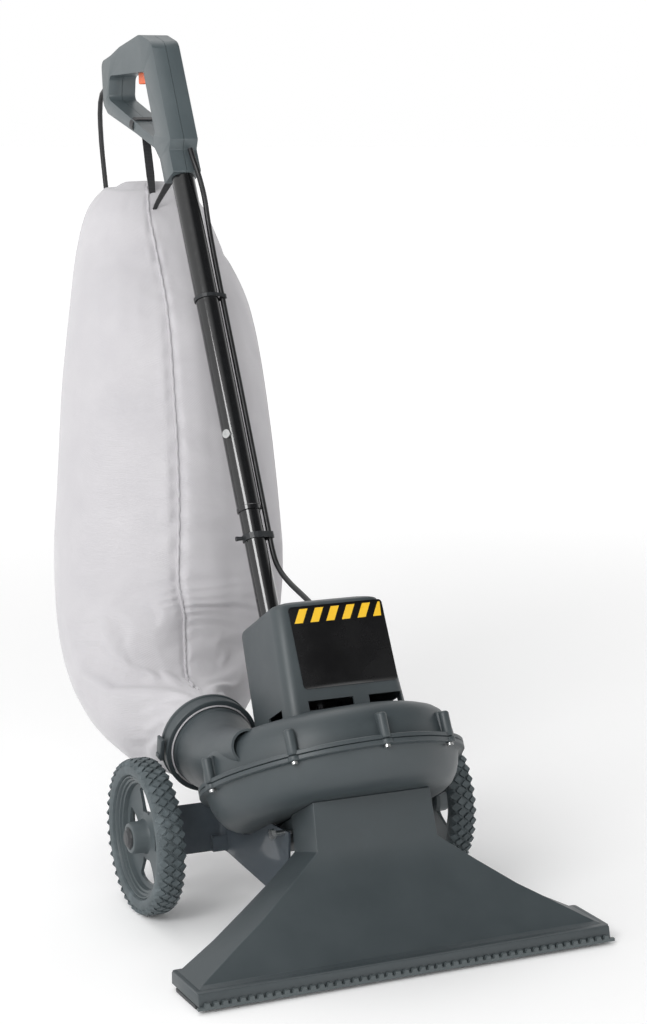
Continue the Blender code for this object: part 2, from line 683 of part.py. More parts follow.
def make_bag():
    """A thin cloth shell: a collar over the spout that swells, turns up and closes at the top."""
    bpy.context.view_layer.update()
    to_body = BODY.matrix_world.inverted() @ SPOUT.matrix_world
    collar = SPOUT_RADIUS + COLLAR_PLAY + BAG_CLOTH
    rings = []
    for height in (0.008, SPOUT_COLLAR_LENGTH + 0.002):
        rings.append([to_body @ Vector((collar * math.cos(a), -collar * math.sin(a), height))
                      for a in (2 * math.pi * k / SPOUT_SIDES for k in range(SPOUT_SIDES))])
    for x, y, z, tilt, half_width, half_depth in BAG_RINGS:
        rings.append(bag_section((x, y, z), tilt, half_width, half_depth))
    bag = loft("dust_bag", rings, BODY, FELT, capped=False)
    bm = bmesh.new()
    bm.from_mesh(bag.data)
    top = [edge for edge in bm.edges if edge.is_boundary and edge.verts[0].co.z > 0.8]
    bmesh.ops.contextual_create(bm, geom=top)
    bmesh.ops.recalc_face_normals(bm, faces=bm.faces)
    bm.to_mesh(bag.data)
    bm.free()
    shell(bag, BAG_CLOTH)


def make_clamp():
    """The collar that grips the bag's mouth on the spout, and its latch."""
    inner = SPOUT_RADIUS + COLLAR_PLAY + BAG_CLOTH + 2 * GAP
    outer = inner + CLAMP_THICKNESS
    washer("bag_clamp_ring", outer, inner, 0.010, 0.010 + CLAMP_LENGTH, CHARCOAL, SPOUT, 32)
    latch = box("clamp_latch", (0.007, 0.030, 0.016), (-outer - 0.0038, 0.0, 0.010 + CLAMP_LENGTH / 2), SPOUT, CHARCOAL)
    soften(latch, 0.0015)


def ribbon(name, path, width, thickness, frame, finish):
    """A strap through a path of points, level across X."""
    rows = [[(x - width / 2, y, z), (x + width / 2, y, z)] for x, y, z in path]
    bm = bmesh.new()
    verts = [[bm.verts.new(point) for point in row] for row in rows]
    for low, high in zip(verts, verts[1:]):
        bm.faces.new((low[0], low[1], high[1], high[0]))
    obj = from_bmesh(name, bm, frame, finish)
    shell(obj, thickness, 0.0)
    return obj


def make_hanger():
    path = ((0.0, 0.5060, 0.9680), (-0.014, 0.4380, 0.8900), (-0.019, 0.4200, 0.8680),
            (-0.014, 0.4120, 0.8820), (0.0, 0.3960, 0.9220))
    ribbon("hanger_strap", path, 0.016, 0.0022, BODY, STRAP)


# ---------------------------------------------------------------- chassis


def make_bracket():
    """Two bent side plates joined by a bar, saddled under the housing and drilled for the axle."""
    corners = (
        (-BRACKET_END_X, 0.020), (-BRACKET_END_X, BRACKET_FACE_Y),
        (-BRACKET_BEND_X, BRACKET_FACE_Y), (-BRACKET_NOSE_X, BRACKET_NOSE_Y),
    )
    path = fillet(corners, (0.0, 0.006, 0.011, 0.0), 5, cyclic=False)

    def side_plate(name, side, finish=None):
        bm = bmesh.new()
        low = [bm.verts.new((side * -x, y, 0.040)) for x, y in path]
        high = [bm.verts.new((side * -x, y, BRACKET_TOP_Z)) for x, y in path]
        for i in range(len(path) - 1):
            bm.faces.new((low[i], low[i + 1], high[i + 1], high[i]))
        obj = from_bmesh(name, bm, BODY, finish)
        shell(obj, BRACKET_SHEET, 0.0)
        return obj

    bracket = side_plate("chassis_bracket", -1, BLACK_PAINT)
    join(bracket, side_plate("bracket_other_side", 1),
         box("bracket_bar", (0.250, 0.020, 0.020), (0, BRACKET_FACE_Y, 0.088), BODY))
    wing = ((0.035, 0.020), (0.035, 0.094), (BRACKET_FACE_Y + 0.004, 0.078), (BRACKET_NOSE_Y - 0.01, 0.046),
            (BRACKET_NOSE_Y - 0.01, 0.020))
    to_side = Matrix(((0, 0, 1, 0), (1, 0, 0, 0), (0, 1, 0, 0), (0, 0, 0, 1)))
    saddle = [(inset, height - 0.0008) for inset, height in LOWER_PROFILE]
    cut(
        bracket,
        plate("bracket_foot_trim", [wing], 0.5, BODY, turn=to_side),
        spiral_solid("bracket_saddle", ((-FLANGE_WIDTH, 0.2), *saddle), grow=0.0045),
        rod("axle_hole", AXLE_RADIUS + GAP, (-0.3, 0, AXLE_HEIGHT), (0.3, 0, AXLE_HEIGHT), BODY, sides=20),
    )
    for side in (-1, 1):
        cut(bracket, rod(f"bracket_bolt_hole_{side}", 0.0034, (side * 0.080, -0.015, HOOD_BOLT_Z),
                         (side * 0.120, -0.015, HOOD_BOLT_Z), MOTOR, sides=16))


def wheel_frame(name, side):
    """An empty on the axle whose Z points outward and whose X points down."""
    outward, down = Vector((side, 0, 0)), Vector((0, 0, -1))
    turn = Matrix((down, outward.cross(down), outward)).transposed().to_4x4()
    inner_face = TRACK_OUTER / 2 - TYRE_WIDTH
    return empty(name, Matrix.Translation((side * inner_face, 0.0, AXLE_HEIGHT)) @ turn, BODY)


TYRE_PROFILE = (
    (0.0800, 0.0335), (0.0860, 0.0360), (0.0950, 0.0340), (WHEEL_RADIUS, 0.0265),
    (WHEEL_RADIUS, 0.0095), (0.0950, 0.0020), (0.0860, 0.0000), (0.0800, 0.0025),
    (RIM_RADIUS, 0.0060), (RIM_RADIUS, 0.0300),
)
HUB_PROFILE = (
    (0.0715, 0.0295), (RIM_RADIUS - GAP, 0.0295), (RIM_RADIUS - GAP, 0.0065), (0.0720, 0.0065),
    (0.0700, 0.0120), (0.0220, 0.0120), (0.0180, -0.0050), (AXLE_RADIUS + 0.0004, -0.0050),
    (AXLE_RADIUS + 0.0004, 0.0400), (0.0165, 0.0400), (0.0180, 0.0360), (0.0220, 0.0170), (0.0680, 0.0165),
)


def make_wheels():
    for side, name in ((-1, "left"), (1, "right")):
        frame = wheel_frame(f"wheel_axis_{name}", side)
        turned(f"tyre_{name}", TYRE_PROFILE, frame, TYRE, 28, closed=True)
        hub = turned(f"hub_{name}", HUB_PROFILE, frame, CHARCOAL, 28, closed=True)
        for k in range(4):
            middle = math.radians(90 * k)
            spread = math.radians(22)
            arc = [(0.062, middle - spread * t) for t in (1, 0.5, 0, -0.5, -1)]
            arc += [(0.030, middle + spread * t * 0.8) for t in (1, 0, -1)]
            window = [(radius * math.cos(a), radius * math.sin(a)) for radius, a in arc]
            cut(hub, plate(f"window_{name}_{k}", [window], 0.05, frame, turn=Matrix.Translation((0, 0, 0.015))))
        turned(f"hub_cap_{name}", ((0.0, 0.0452), (0.009, 0.0446), (0.0125, 0.0425), (0.0135, 0.0404), (0.0, 0.0404)),
               frame, BLACK_PLASTIC, 20)
    reach = TRACK_OUTER / 2 + 0.0035
    rod("axle", AXLE_RADIUS, (-reach, 0, AXLE_HEIGHT), (reach, 0, AXLE_HEIGHT), BODY, ZINC, 20)


# ---------------------------------------------------------------- handle


def pipe(name, radius, low, high, finish):
    return washer(name, radius, radius - TUBE_WALL, low, high, finish, HANDLE, 24)


def crosswise(name, radius, start, end, height, finish=None, sides=14):
    """A rod across the tube at a height, turned clear of the cord beside the tube."""
    across = Vector((math.cos(BOLT_TURN), math.sin(BOLT_TURN), 0.0))
    level = Vector((0.0, 0.0, height))
    return rod(name, radius, across * start + level, across * end + level, HANDLE, finish, sides)


def make_tubes():
    lower = pipe("lower_tube", LOWER_TUBE_RADIUS, LOWER_TUBE_START, LOWER_TUBE_END, BLACK_PAINT)
    upper = pipe("upper_tube", UPPER_TUBE_RADIUS, UPPER_TUBE_START, UPPER_TUBE_END, BLACK_PAINT)
    socket = turned("handle_socket", ((0.0, 0.006), (LOWER_TUBE_RADIUS + 2 * GAP, 0.006),
                                      (LOWER_TUBE_RADIUS + 2 * GAP, SOCKET_HEIGHT), (SOCKET_RADIUS - 0.002, SOCKET_HEIGHT),
                                      (SOCKET_RADIUS, SOCKET_HEIGHT - 0.003), (SOCKET_RADIUS, -0.0015), (0.0, -0.0015)),
                    HANDLE, CHARCOAL, 24)
    for name, height, bodies, reach in (
        ("tube_bolt", TUBE_BOLT_Z, (lower, upper), UPPER_TUBE_RADIUS),
        ("socket_bolt", SOCKET_BOLT_Z, (lower, socket), SOCKET_RADIUS),
    ):
        hole = crosswise(f"{name}_hole", 0.0031, -0.05, 0.05, height)
        for body in bodies:
            cut(body, hole)
        bolt = crosswise(name, 0.0026, -reach - 0.002, reach + 0.0052, height, ZINC)
        join(bolt, crosswise(f"{name}_head", 0.0060, -reach - 0.0038, -reach - GAP, height, sides=16))
    nut_seat = UPPER_TUBE_RADIUS + GAP
    nut = crosswise("tube_nut", 0.0062, nut_seat, nut_seat + 0.0045, TUBE_BOLT_Z, ZINC, sides=6)
    cut(nut, crosswise("tube_nut_bore", 0.0029, 0.0, 0.05, TUBE_BOLT_Z))


def band_outline(tube_radius, cord_at, cord_radius, grow):
    """The outline around the tube and the cord beside it, from the two circles' outer tangents."""
    centre = Vector(cord_at)
    big, small = tube_radius + grow, cord_radius + grow
    heading = math.atan2(centre.y, centre.x)
    spread = math.acos((big - small) / centre.length)
    points = []
    for middle, radius, first, last in (
        (Vector((0, 0)), big, heading + spread, heading - spread + 2 * math.pi),
        (centre, small, heading - spread, heading + spread),
    ):
        steps = 12 if radius == big else 8
        for k in range(steps + 1):
            angle = first + (last - first) * k / steps
            points.append((middle.x + radius * math.cos(angle), middle.y + radius * math.sin(angle)))
    return points


def make_cord_bands():
    for name, height, radius, length in (
        ("cord_tie", TIE_Z, UPPER_TUBE_RADIUS, 0.005), ("cord_clip", CLIP_Z, LOWER_TUBE_RADIUS, 0.008),
    ):
        x, y, _ = harness_at(height)
        inner = band_outline(radius, (x, y), HARNESS_RADIUS, 0.0007)
        outer = band_outline(radius, (x, y), HARNESS_RADIUS, 0.0022)
        band = plate(name, [outer, inner], length, HANDLE, BLACK_PLASTIC, Matrix.Translation((0, 0, height)))
        if name == "cord_clip":
            join(band, rod("clip_tail", 0.0022, (-radius - 0.0012, 0, height), (-radius - 0.012, 0, height),
                           HANDLE, sides=12, end_radius=0.0034))


GRIP_OUTLINE = (
    ((-0.0190, 0.812), 0.0), ((-0.0190, 0.846), 0.0), ((-0.0300, 0.852), 0.0), ((-0.0300, 1.006), 0.022),
    ((0.0060, 1.038), 0.040), ((0.0870, 1.0620), 0.0), ((0.1250, 1.0690), 0.0), ((0.1640, 1.0800), 0.012),
    ((0.1860, 1.022), 0.012), ((0.1760, 1.002), 0.008), ((0.0870, 0.925), 0.0), ((0.0300, 0.873), 0.0),
    ((0.0190, 0.850), 0.0), ((0.0190, 0.812), 0.0),
)
GRIP_OPENING = (((0.0170, 0.985), 0.006), ((0.1430, 1.046), 0.010), ((0.1625, 1.018), 0.010), ((0.0185, 0.880), 0.006))
GRIP_SCREWS = ((0.158, 1.0605), (-0.006, 0.955))
TRIGGER_MIDDLE = (0.052, 0.998)
TRIGGER_SIZE = (0.0105, 0.022, 0.024)
TRIGGER_TURN = math.radians(26.3)


def grip_half(name, side):
    """One moulded half of the D-grip: a hollow shell that is open at the middle plane."""
    outlines = [fillet([corner for corner, _ in shape], [radius for _, radius in shape], 2)
                for shape in (GRIP_OUTLINE, GRIP_OPENING)]
    depth = GRIP_HALF_THICKNESS - GAP / 2
    to_side = Matrix(((0, 0, 1, side * (GAP / 2 + depth / 2)), (1, 0, 0, 0), (0, 1, 0, 0), (0, 0, 0, 1)))
    half = plate(name, outlines, depth, HANDLE, CHARCOAL, to_side)
    bm = bmesh.new()
    bm.from_mesh(half.data)
    rim = [edge for edge in bm.edges
           if all(abs(abs(v.co.x) - GRIP_HALF_THICKNESS) < 1e-5 for v in edge.verts)
           and any(abs(f.normal.x) < 0.5 for f in edge.link_faces)]
    bmesh.ops.bevel(bm, geom=rim, offset=0.005, segments=2, affect="EDGES", profile=0.5, clamp_overlap=True)
    seam = [face for face in bm.faces if all(abs(v.co.x) < GAP for v in face.verts)]
    bmesh.ops.delete(bm, geom=seam, context="FACES")
    bm.to_mesh(half.data)
    bm.free()
    shell(half, GRIP_WALL)
    return half


def relief_line(before, beyond):
    """Ends of the strain relief in the handle frame, stretched at either end."""
    bpy.context.view_layer.update()
    to_handle = HANDLE.matrix_world.inverted() @ BODY.matrix_world
    outer = to_handle @ Vector(CORD_ROUTE[0])
    inner = to_handle @ (Vector(CORD_ROUTE[0]) - Vector((0.0, RELIEF_LENGTH, 0.0)))
    along = (outer - inner).normalized()
    return inner - along * before, outer + along * beyond


def make_grip():
    halves = (grip_half("grip_left", -1), grip_half("grip_right", 1))
    turned_box = (TRIGGER_SIZE[0] + 0.001, TRIGGER_SIZE[1] + 0.001, TRIGGER_SIZE[2] + 0.012)
    slot = box("trigger_slot", turned_box, (0, *TRIGGER_MIDDLE), HANDLE, turn=TRIGGER_TURN)
    tube_way = rod("tube_way", UPPER_TUBE_RADIUS + 2 * GAP, (0, 0, 0.80), (0, 0, 0.91), HANDLE, sides=32)
    relief_way = rod("relief_way", RELIEF_RADIUS + 2 * GAP, *relief_line(0.004, 0.0), HANDLE, sides=16)
    for half in halves:
        cut(half, slot, tube_way, relief_way)
    for i, (y, z) in enumerate(GRIP_SCREWS):
        inner = -(GRIP_HALF_THICKNESS - 0.001)
        join(halves[0], rod(f"grip_boss_{i}", 0.0042, (inner, y, z), (-0.001, y, z), HANDLE, sides=14))
        cut(halves[0], rod(f"grip_boss_bore_{i}", 0.0021, (inner + 0.004, y, z), (0.003, y, z), HANDLE, sides=12))
        cut(halves[1], rod(f"grip_screw_hole_{i}", 0.0021, (0.0, y, z), (0.03, y, z), HANDLE, sides=12))
        screw = rod(f"grip_screw_{i + 1}", 0.0017, (inner + 0.006, y, z), (GRIP_HALF_THICKNESS + 0.001, y, z),
                    HANDLE, ZINC, 12)
        join(screw, rod(f"grip_screw_head_{i}", 0.0034, (GRIP_HALF_THICKNESS + GAP, y, z),
                        (GRIP_HALF_THICKNESS + 0.0022, y, z), HANDLE, sides=14))
    trigger = box("switch_trigger", TRIGGER_SIZE, (0, *TRIGGER_MIDDLE), HANDLE, ORANGE, TRIGGER_TURN)
    soften(trigger, 0.002)
    away = Vector((0, -math.sin(TRIGGER_TURN), math.cos(TRIGGER_TURN)))
    body_middle = Vector((0, *TRIGGER_MIDDLE)) + away * (TRIGGER_SIZE[2] / 2 + 0.012)
    box("switch_body", (0.018, 0.024, 0.014), body_middle, HANDLE, BLACK_PLASTIC, TRIGGER_TURN)


# ---------------------------------------------------------------- cords

HARNESS_ROUTE = (
    (0.0080, -0.0256, 0.8435), (0.0095, -0.0264, 0.8250), (0.0130, -0.0252, 0.8040), (0.0185, -0.0170, 0.7750),
    (0.0208, -0.0080, 0.7400), (0.0208, -0.0055, 0.7000), (0.0208, -0.0050, 0.6300),
    (0.0208, -0.0050, 0.5000), (0.0202, -0.0050, 0.3600), (0.0200, -0.0050, 0.3100), (0.0200, -0.0050, 0.2620),
    (0.0208, -0.0120, 0.2370), (0.0240, -0.0290, 0.2120),
    (0.0280, -0.0470, 0.1940),
)
CORD_ROUTE = (
    (0.000, 0.6665, 1.0375), (0.000, 0.6765, 1.0368), (0.000, 0.6890, 1.0305), (0.000, 0.6970, 1.0180),
    (0.000, 0.6998, 1.0010), (0.001, 0.6985, 0.9600), (0.004, 0.6920, 0.9000), (0.012, 0.6800, 0.7800),
    (0.026, 0.6680, 0.6200), (0.042, 0.6620, 0.4400), (0.058, 0.6600, 0.2600), (0.069, 0.6620, 0.1300),
    (0.0740, 0.6650, 0.0760), (0.0830, 0.6700, 0.0370), (0.0970, 0.6745, 0.0140), (0.1150, 0.6750, 0.0052),
    (0.1340, 0.6700, 0.0046), (0.1520, 0.6612, 0.0060),
)
RELIEF_RADIUS = 0.0052
RELIEF_LENGTH = 0.046


def harness_at(height):
    for a, b in zip(HARNESS_ROUTE, HARNESS_ROUTE[1:]):
        if b[2] <= height <= a[2]:
            return tuple(Vector(a).lerp(Vector(b), (a[2] - height) / (a[2] - b[2])))
    return HARNESS_ROUTE[-1]


def make_cords():
    bpy.context.view_layer.update()
    from_motor = HANDLE.matrix_world.inverted() @ MOTOR.matrix_world
    lead_in = [from_motor @ Vector((*GLAND_AT, GLAND_TOP + rise)) for rise in (0.012, GAP)]
    tube("harness_cord", smooth_path([*HARNESS_ROUTE, *lead_in], 0.021), HARNESS_RADIUS, HANDLE, CORD, 2)
    rod("cord_gland", 0.0058, (*GLAND_AT, COVER_TOP - 0.004), (*GLAND_AT, GLAND_TOP), MOTOR, BLACK_PLASTIC, 16)
    tube("power_cord", smooth_path(CORD_ROUTE, 0.024), CORD_RADIUS, BODY, CORD, 2)
    inner, outer = COIL_RADII
    coil_frame = empty("coil_frame", Matrix.Translation((*COIL_CENTRE, 0.0005)), BODY)
    turned("power_cord_coil", ((inner + 0.004, COIL_HEIGHT), (outer - 0.004, COIL_HEIGHT), (outer, COIL_HEIGHT - 0.004),
                               (outer, 0.004), (outer - 0.004, 0.0), (inner + 0.004, 0.0), (inner, 0.004),
                               (inner, COIL_HEIGHT - 0.004)), coil_frame, CORD, 28, closed=True)
    rod("cord_strain_relief", RELIEF_RADIUS, *relief_line(0.0, -GAP), HANDLE, BLACK_PLASTIC, 16, end_radius=0.0046)


def make_plug():
    """A moulded plug lying by the coil, its blades level with the floor."""
    at = Vector((COIL_CENTRE[0] + 0.085, COIL_CENTRE[1] - 0.010, 0.0135))
    plug = rod("power_plug", 0.0130, at, at + Vector((0, 0.034, 0)), BODY, CORD, 20, end_radius=0.0085)
    join(plug, rod("plug_tail", 0.0070, at + Vector((0, 0.030, 0)), at + Vector((0, 0.052, 0)), BODY, sides=16,
                   end_radius=0.0050))
    for side in (-1, 1):
        join(plug, box(f"plug_blade_{side}", (0.0015, 0.0180, 0.0062), at + Vector((side * 0.0064, -0.0075, 0.0)), BODY))


make_floor_nozzle()
make_hood_bolts()
make_lip_strip()
make_skids()
make_volute()
make_motor_cover()
make_label()
make_motor()
make_impeller()
make_bag()
make_clamp()
make_hanger()
make_bracket()
make_wheels()
make_tubes()
make_cord_bands()
make_grip()
make_cords()
make_plug()
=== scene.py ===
"""Walk-behind bag sweeper vacuum: the finished look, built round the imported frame.

Units are metres. The nozzle faces -Y, the wheels turn about X and the floor is Z = 0.
"""

import json
import logging
import math
from dataclasses import dataclass
from enum import Enum

import bmesh
import bpy
from bpy.types import Material, Node, NodeSocket, NodeTree, Object
from mathutils import Matrix, Vector, noise

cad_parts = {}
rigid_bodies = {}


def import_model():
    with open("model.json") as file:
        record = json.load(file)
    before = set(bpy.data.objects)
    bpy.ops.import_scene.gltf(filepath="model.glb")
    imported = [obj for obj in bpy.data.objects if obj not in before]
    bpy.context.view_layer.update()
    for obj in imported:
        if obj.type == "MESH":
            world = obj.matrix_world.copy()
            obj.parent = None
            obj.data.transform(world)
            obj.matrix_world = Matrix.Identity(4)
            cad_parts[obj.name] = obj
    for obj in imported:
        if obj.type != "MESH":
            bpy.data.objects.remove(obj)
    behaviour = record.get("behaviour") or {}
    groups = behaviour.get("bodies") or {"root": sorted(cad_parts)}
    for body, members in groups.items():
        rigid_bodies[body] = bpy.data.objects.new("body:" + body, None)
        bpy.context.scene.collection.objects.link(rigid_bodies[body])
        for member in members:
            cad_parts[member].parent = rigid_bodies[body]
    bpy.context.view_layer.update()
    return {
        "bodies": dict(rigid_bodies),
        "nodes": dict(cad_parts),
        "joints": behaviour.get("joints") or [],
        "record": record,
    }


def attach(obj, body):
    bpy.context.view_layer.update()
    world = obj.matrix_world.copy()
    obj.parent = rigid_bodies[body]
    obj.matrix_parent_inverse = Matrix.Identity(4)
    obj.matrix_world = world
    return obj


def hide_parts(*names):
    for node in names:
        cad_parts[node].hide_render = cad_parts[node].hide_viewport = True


LOG = logging.getLogger("bag_sweeper")
MM = 0.001
MACHINE = "machine"
WAVE_PERIOD = 0.314  # metres from band to band of a wave texture at scale 1


# ------------------------------------------------------------------ frames


def leaning(base: tuple[float, float, float], lean: float) -> Matrix:
    """A frame at a base point, leaning back towards +Y by an angle in degrees.

    Args:
        base: the frame's origin.
        lean: how far its Z tips towards +Y.

    Returns:
        The matrix from the frame to the row frame.
    """
    return Matrix.Translation(base) @ Matrix.Rotation(math.radians(-lean), 4, "X")


AXLE_Y = -0.1385
MOTOR_LEAN = 28.25
HANDLE_LEAN = 27.72
SPOUT_RISE = 9.0
SPOUT_MOUTH = (-0.105, 0.113, 0.070)
BODY = Matrix.Translation((0.0, AXLE_Y, 0.0))
MOTOR = BODY @ leaning((0.0, -0.1283, 0.193), MOTOR_LEAN)
HANDLE = BODY @ leaning((0.0, -0.0138, 0.197), HANDLE_LEAN)
SPOUT = MOTOR @ leaning(SPOUT_MOUTH, 90.0 - SPOUT_RISE - MOTOR_LEAN)


# ------------------------------------------------------------------ nodes and colours


def linear(code: str) -> tuple[float, float, float, float]:
    """An sRGB hex colour as the linear RGBA that Blender's sockets take.

    Args:
        code: a colour such as "#3F474A".

    Returns:
        Linear red, green, blue and an alpha of one.
    """
    parts = [int(code[i:i + 2], 16) / 255 for i in (1, 3, 5)]
    red, green, blue = (c / 12.92 if c <= 0.04045 else ((c + 0.055) / 1.055) ** 2.4 for c in parts)
    return red, green, blue, 1.0


def add(tree: NodeTree, kind: str, sockets: dict | None = None, **settings: object) -> Node:
    """Add one node with its settings, and set or link its inputs.

    Args:
        tree: the node tree.
        kind: the node's type without the "ShaderNode" in front.
        sockets: input name or index to a value or to another node's output.
        settings: the node's own properties.

    Returns:
        The new node.
    """
    made = tree.nodes.new("ShaderNode" + kind)
    for key, value in settings.items():
        setattr(made, key, value)
    for key, value in (sockets or {}).items():
        if isinstance(value, NodeSocket):
            tree.links.new(value, made.inputs[key])
        else:
            made.inputs[key].default_value = value
    return made


def speckle(tree: NodeTree, place: NodeSocket, scale: float, **sockets: float) -> NodeSocket:
    """Add a noise texture.

    Args:
        tree: the node tree.
        place: the coordinates it is read at.
        scale: its features to the metre.
        sockets: its other inputs.

    Returns:
        The texture's value.
    """
    return add(tree, "TexNoise", {"Vector": place, "Scale": scale, **sockets}).outputs["Fac"]


def blend(tree: NodeTree, share: NodeSocket, low: object, high: object) -> NodeSocket:
    """Mix two colours.

    Args:
        tree: the node tree.
        share: how much of the high colour there is.
        low: a colour, or a socket that gives one.
        high: a colour, or a socket that gives one.

    Returns:
        The mixed colour.
    """
    return add(tree, "Mix", {0: share, 6: low, 7: high}, data_type="RGBA").outputs[2]


def remap(tree: NodeTree, value: NodeSocket, to: tuple[float, float],
          source: tuple[float, float] = (0.0, 1.0), soft: bool = False) -> NodeSocket:
    """Take a value from one range to another.

    Args:
        tree: the node tree.
        value: the value.
        to: the ends of the new range.
        source: the ends of the old range.
        soft: the ends are eased.

    Returns:
        The value in the new range.
    """
    ranges = {"From Min": source[0], "From Max": source[1], "To Min": to[0], "To Max": to[1]}
    ease = "SMOOTHSTEP" if soft else "LINEAR"
    made = add(tree, "MapRange", {"Value": value, **ranges}, interpolation_type=ease)
    return made.outputs["Result"]


class Finish:
    """A material that is made once, when it is first asked for."""

    name: str

    def material(self) -> Material:
        """The material, made at the first call.

        Returns:
            The Blender material of this finish.
        """
        found = bpy.data.materials.get(self.name)
        if found is None:
            found = bpy.data.materials.new(self.name)
            found.use_nodes = True
            tree = found.node_tree
            place = add(tree, "TexCoord").outputs["Object"]
            self.wire(tree, tree.nodes["Principled BSDF"], place)
        return found

    def wire(self, tree: NodeTree, shader: Node, place: NodeSocket) -> None:
        """Set the shader up. Each finish has its own.

        Args:
            tree: the material's node tree.
            shader: its shader.
            place: the object's coordinates.
        """
        raise NotImplementedError

    @staticmethod
    def set(shader: Node, **values: object) -> None:
        """Set sockets of a shader.

        Args:
            shader: the shader.
            values: socket names, with underscores for spaces, and their values.
        """
        for key, value in values.items():
            shader.inputs[key.replace("_", " ")].default_value = value

    @staticmethod
    def cover(tree: NodeTree, shader: Node, tone: NodeSocket, height: NodeSocket, strength: float,
              depth: float, gloss: NodeSocket | None = None) -> None:
        """Link a shader's colour and relief, and its gloss if that varies.

        Args:
            tree: the material's node tree.
            shader: its shader.
            tone: the colour.
            height: the relief.
            strength: how much of the relief shows, from 0 to 1.
            depth: the relief's depth in metres.
            gloss: the roughness.
        """
        bump = add(tree, "Bump", {"Height": height, "Strength": strength, "Distance": depth})
        tree.links.new(tone, shader.inputs["Base Color"])
        tree.links.new(bump.outputs["Normal"], shader.inputs["Normal"])
        if gloss is not None:
            tree.links.new(gloss, shader.inputs["Roughness"])


@dataclass(frozen=True)
class MouldedPlastic(Finish):
    """Injection-moulded ABS: spark-eroded grain gives broad, soft highlights."""

    name: str
    colour: str
    worn: str
    roughness: float = 0.44
    grain_mm: float = 0.9
    relief: float = 0.10

    def wire(self, tree: NodeTree, shader: Node, place: NodeSocket) -> None:
        """Grain in the bump, slow drifts of tone and faint scuffs in the colour and gloss.

        Args:
            tree: the material's node tree.
            shader: its shader.
            place: the object's coordinates.
        """
        grain = speckle(tree, place, 1 / (self.grain_mm * MM), Detail=2.0)
        drift = speckle(tree, place, 14.0, Detail=5.0, Roughness=0.6)
        scuff = speckle(tree, place, 55.0, Detail=8.0, Distortion=1.2)
        worn = remap(tree, scuff, (0.0, 0.35), (0.58, 0.78), soft=True)
        tone = blend(tree, drift, linear(self.colour), linear(self.worn))
        shade = blend(tree, worn, tone, linear(self.worn))
        gloss = remap(tree, drift, (self.roughness - 0.06, self.roughness + 0.08), (0.3, 0.7))
        self.cover(tree, shader, shade, grain, self.relief, 0.0004, gloss)
        self.set(shader, IOR=1.53)


@dataclass(frozen=True)
class GlossPaint(Finish):
    """Stoved enamel on steel: near-mirror black with a slight orange peel."""

    name: str
    colour: str
    dusty: str = "#17181A"
    roughness: float = 0.14
    peel_mm: float = 2.2
    relief: float = 0.06

    def wire(self, tree: NodeTree, shader: Node, place: NodeSocket) -> None:
        """A soft peel in the bump and dust marks in the gloss.

        Args:
            tree: the material's node tree.
            shader: its shader.
            place: the object's coordinates.
        """
        peel = speckle(tree, place, 1 / (self.peel_mm * MM), Detail=2.0)
        dust = speckle(tree, place, 90.0, Detail=6.0, Roughness=0.7)
        gloss = remap(tree, dust, (self.roughness, self.roughness + 0.16), (0.45, 0.8))
        tone = blend(tree, dust, linear(self.colour), linear(self.dusty))
        self.cover(tree, shader, tone, peel, self.relief, 0.0006, gloss)
        self.set(shader, Coat_Weight=0.6, Coat_Roughness=0.06)


@dataclass(frozen=True)
class Metal(Finish):
    """Plated or bare steel, copper and the like, drawn or turned so that it is finely streaked."""

    name: str
    colour: str
    dull: str
    roughness: float = 0.26
    streak_mm: float = 0.7

    def wire(self, tree: NodeTree, shader: Node, place: NodeSocket) -> None:
        """Fine streaks in the gloss and cloudy plating in the colour.

        Args:
            tree: the material's node tree.
            shader: its shader.
            place: the object's coordinates.
        """
        cloud = speckle(tree, place, 130.0, Detail=5.0)
        streak = speckle(tree, place, 1 / (self.streak_mm * MM), Detail=3.0)
        tone = blend(tree, cloud, linear(self.dull), linear(self.colour))
        gloss = remap(tree, streak, (self.roughness - 0.08, self.roughness + 0.14))
        self.cover(tree, shader, tone, streak, 0.08, 0.0002, gloss)
        self.set(shader, Metallic=1.0)


@dataclass(frozen=True)
class Felt(Finish):
    """Napped filter cloth: a soft matt face of short matted fibres over a twill.

    The twill is drawn at 1.6 mm, coarser than the real 0.8, so that it shows.
    """

    name: str
    colour: str
    shade: str
    twill_mm: float = 1.6
    fibre_mm: float = 0.7

    def wire(self, tree: NodeTree, shader: Node, place: NodeSocket) -> None:
        """A faint twill and matted fibres in the bump, slow clouding in the colour, and sheen.

        Args:
            tree: the material's node tree.
            shader: its shader.
            place: the object's coordinates.
        """
        fibre = speckle(tree, place, 1 / (self.fibre_mm * MM), Detail=4.0, Roughness=0.65)
        twill = add(tree, "TexWave", {"Vector": place, "Scale": WAVE_PERIOD / (self.twill_mm * MM),
                                      "Distortion": 1.5, "Detail": 1.0}, bands_direction="DIAGONAL")
        cloud = speckle(tree, place, 9.0, Detail=6.0, Roughness=0.6)
        fleck = remap(tree, fibre, (0.0, 0.45), (0.3, 0.75))
        tone = blend(tree, cloud, linear(self.colour), linear(self.shade))
        nap = blend(tree, fleck, tone, linear(self.shade))
        relief = add(tree, "Math", {0: fibre, 1: twill.outputs["Fac"]}, operation="ADD")
        self.cover(tree, shader, nap, relief.outputs["Value"], 0.22, 0.0006)
        self.set(shader, Roughness=0.95, Sheen_Weight=0.35, Sheen_Roughness=0.5,
                 Specular_IOR_Level=0.2)


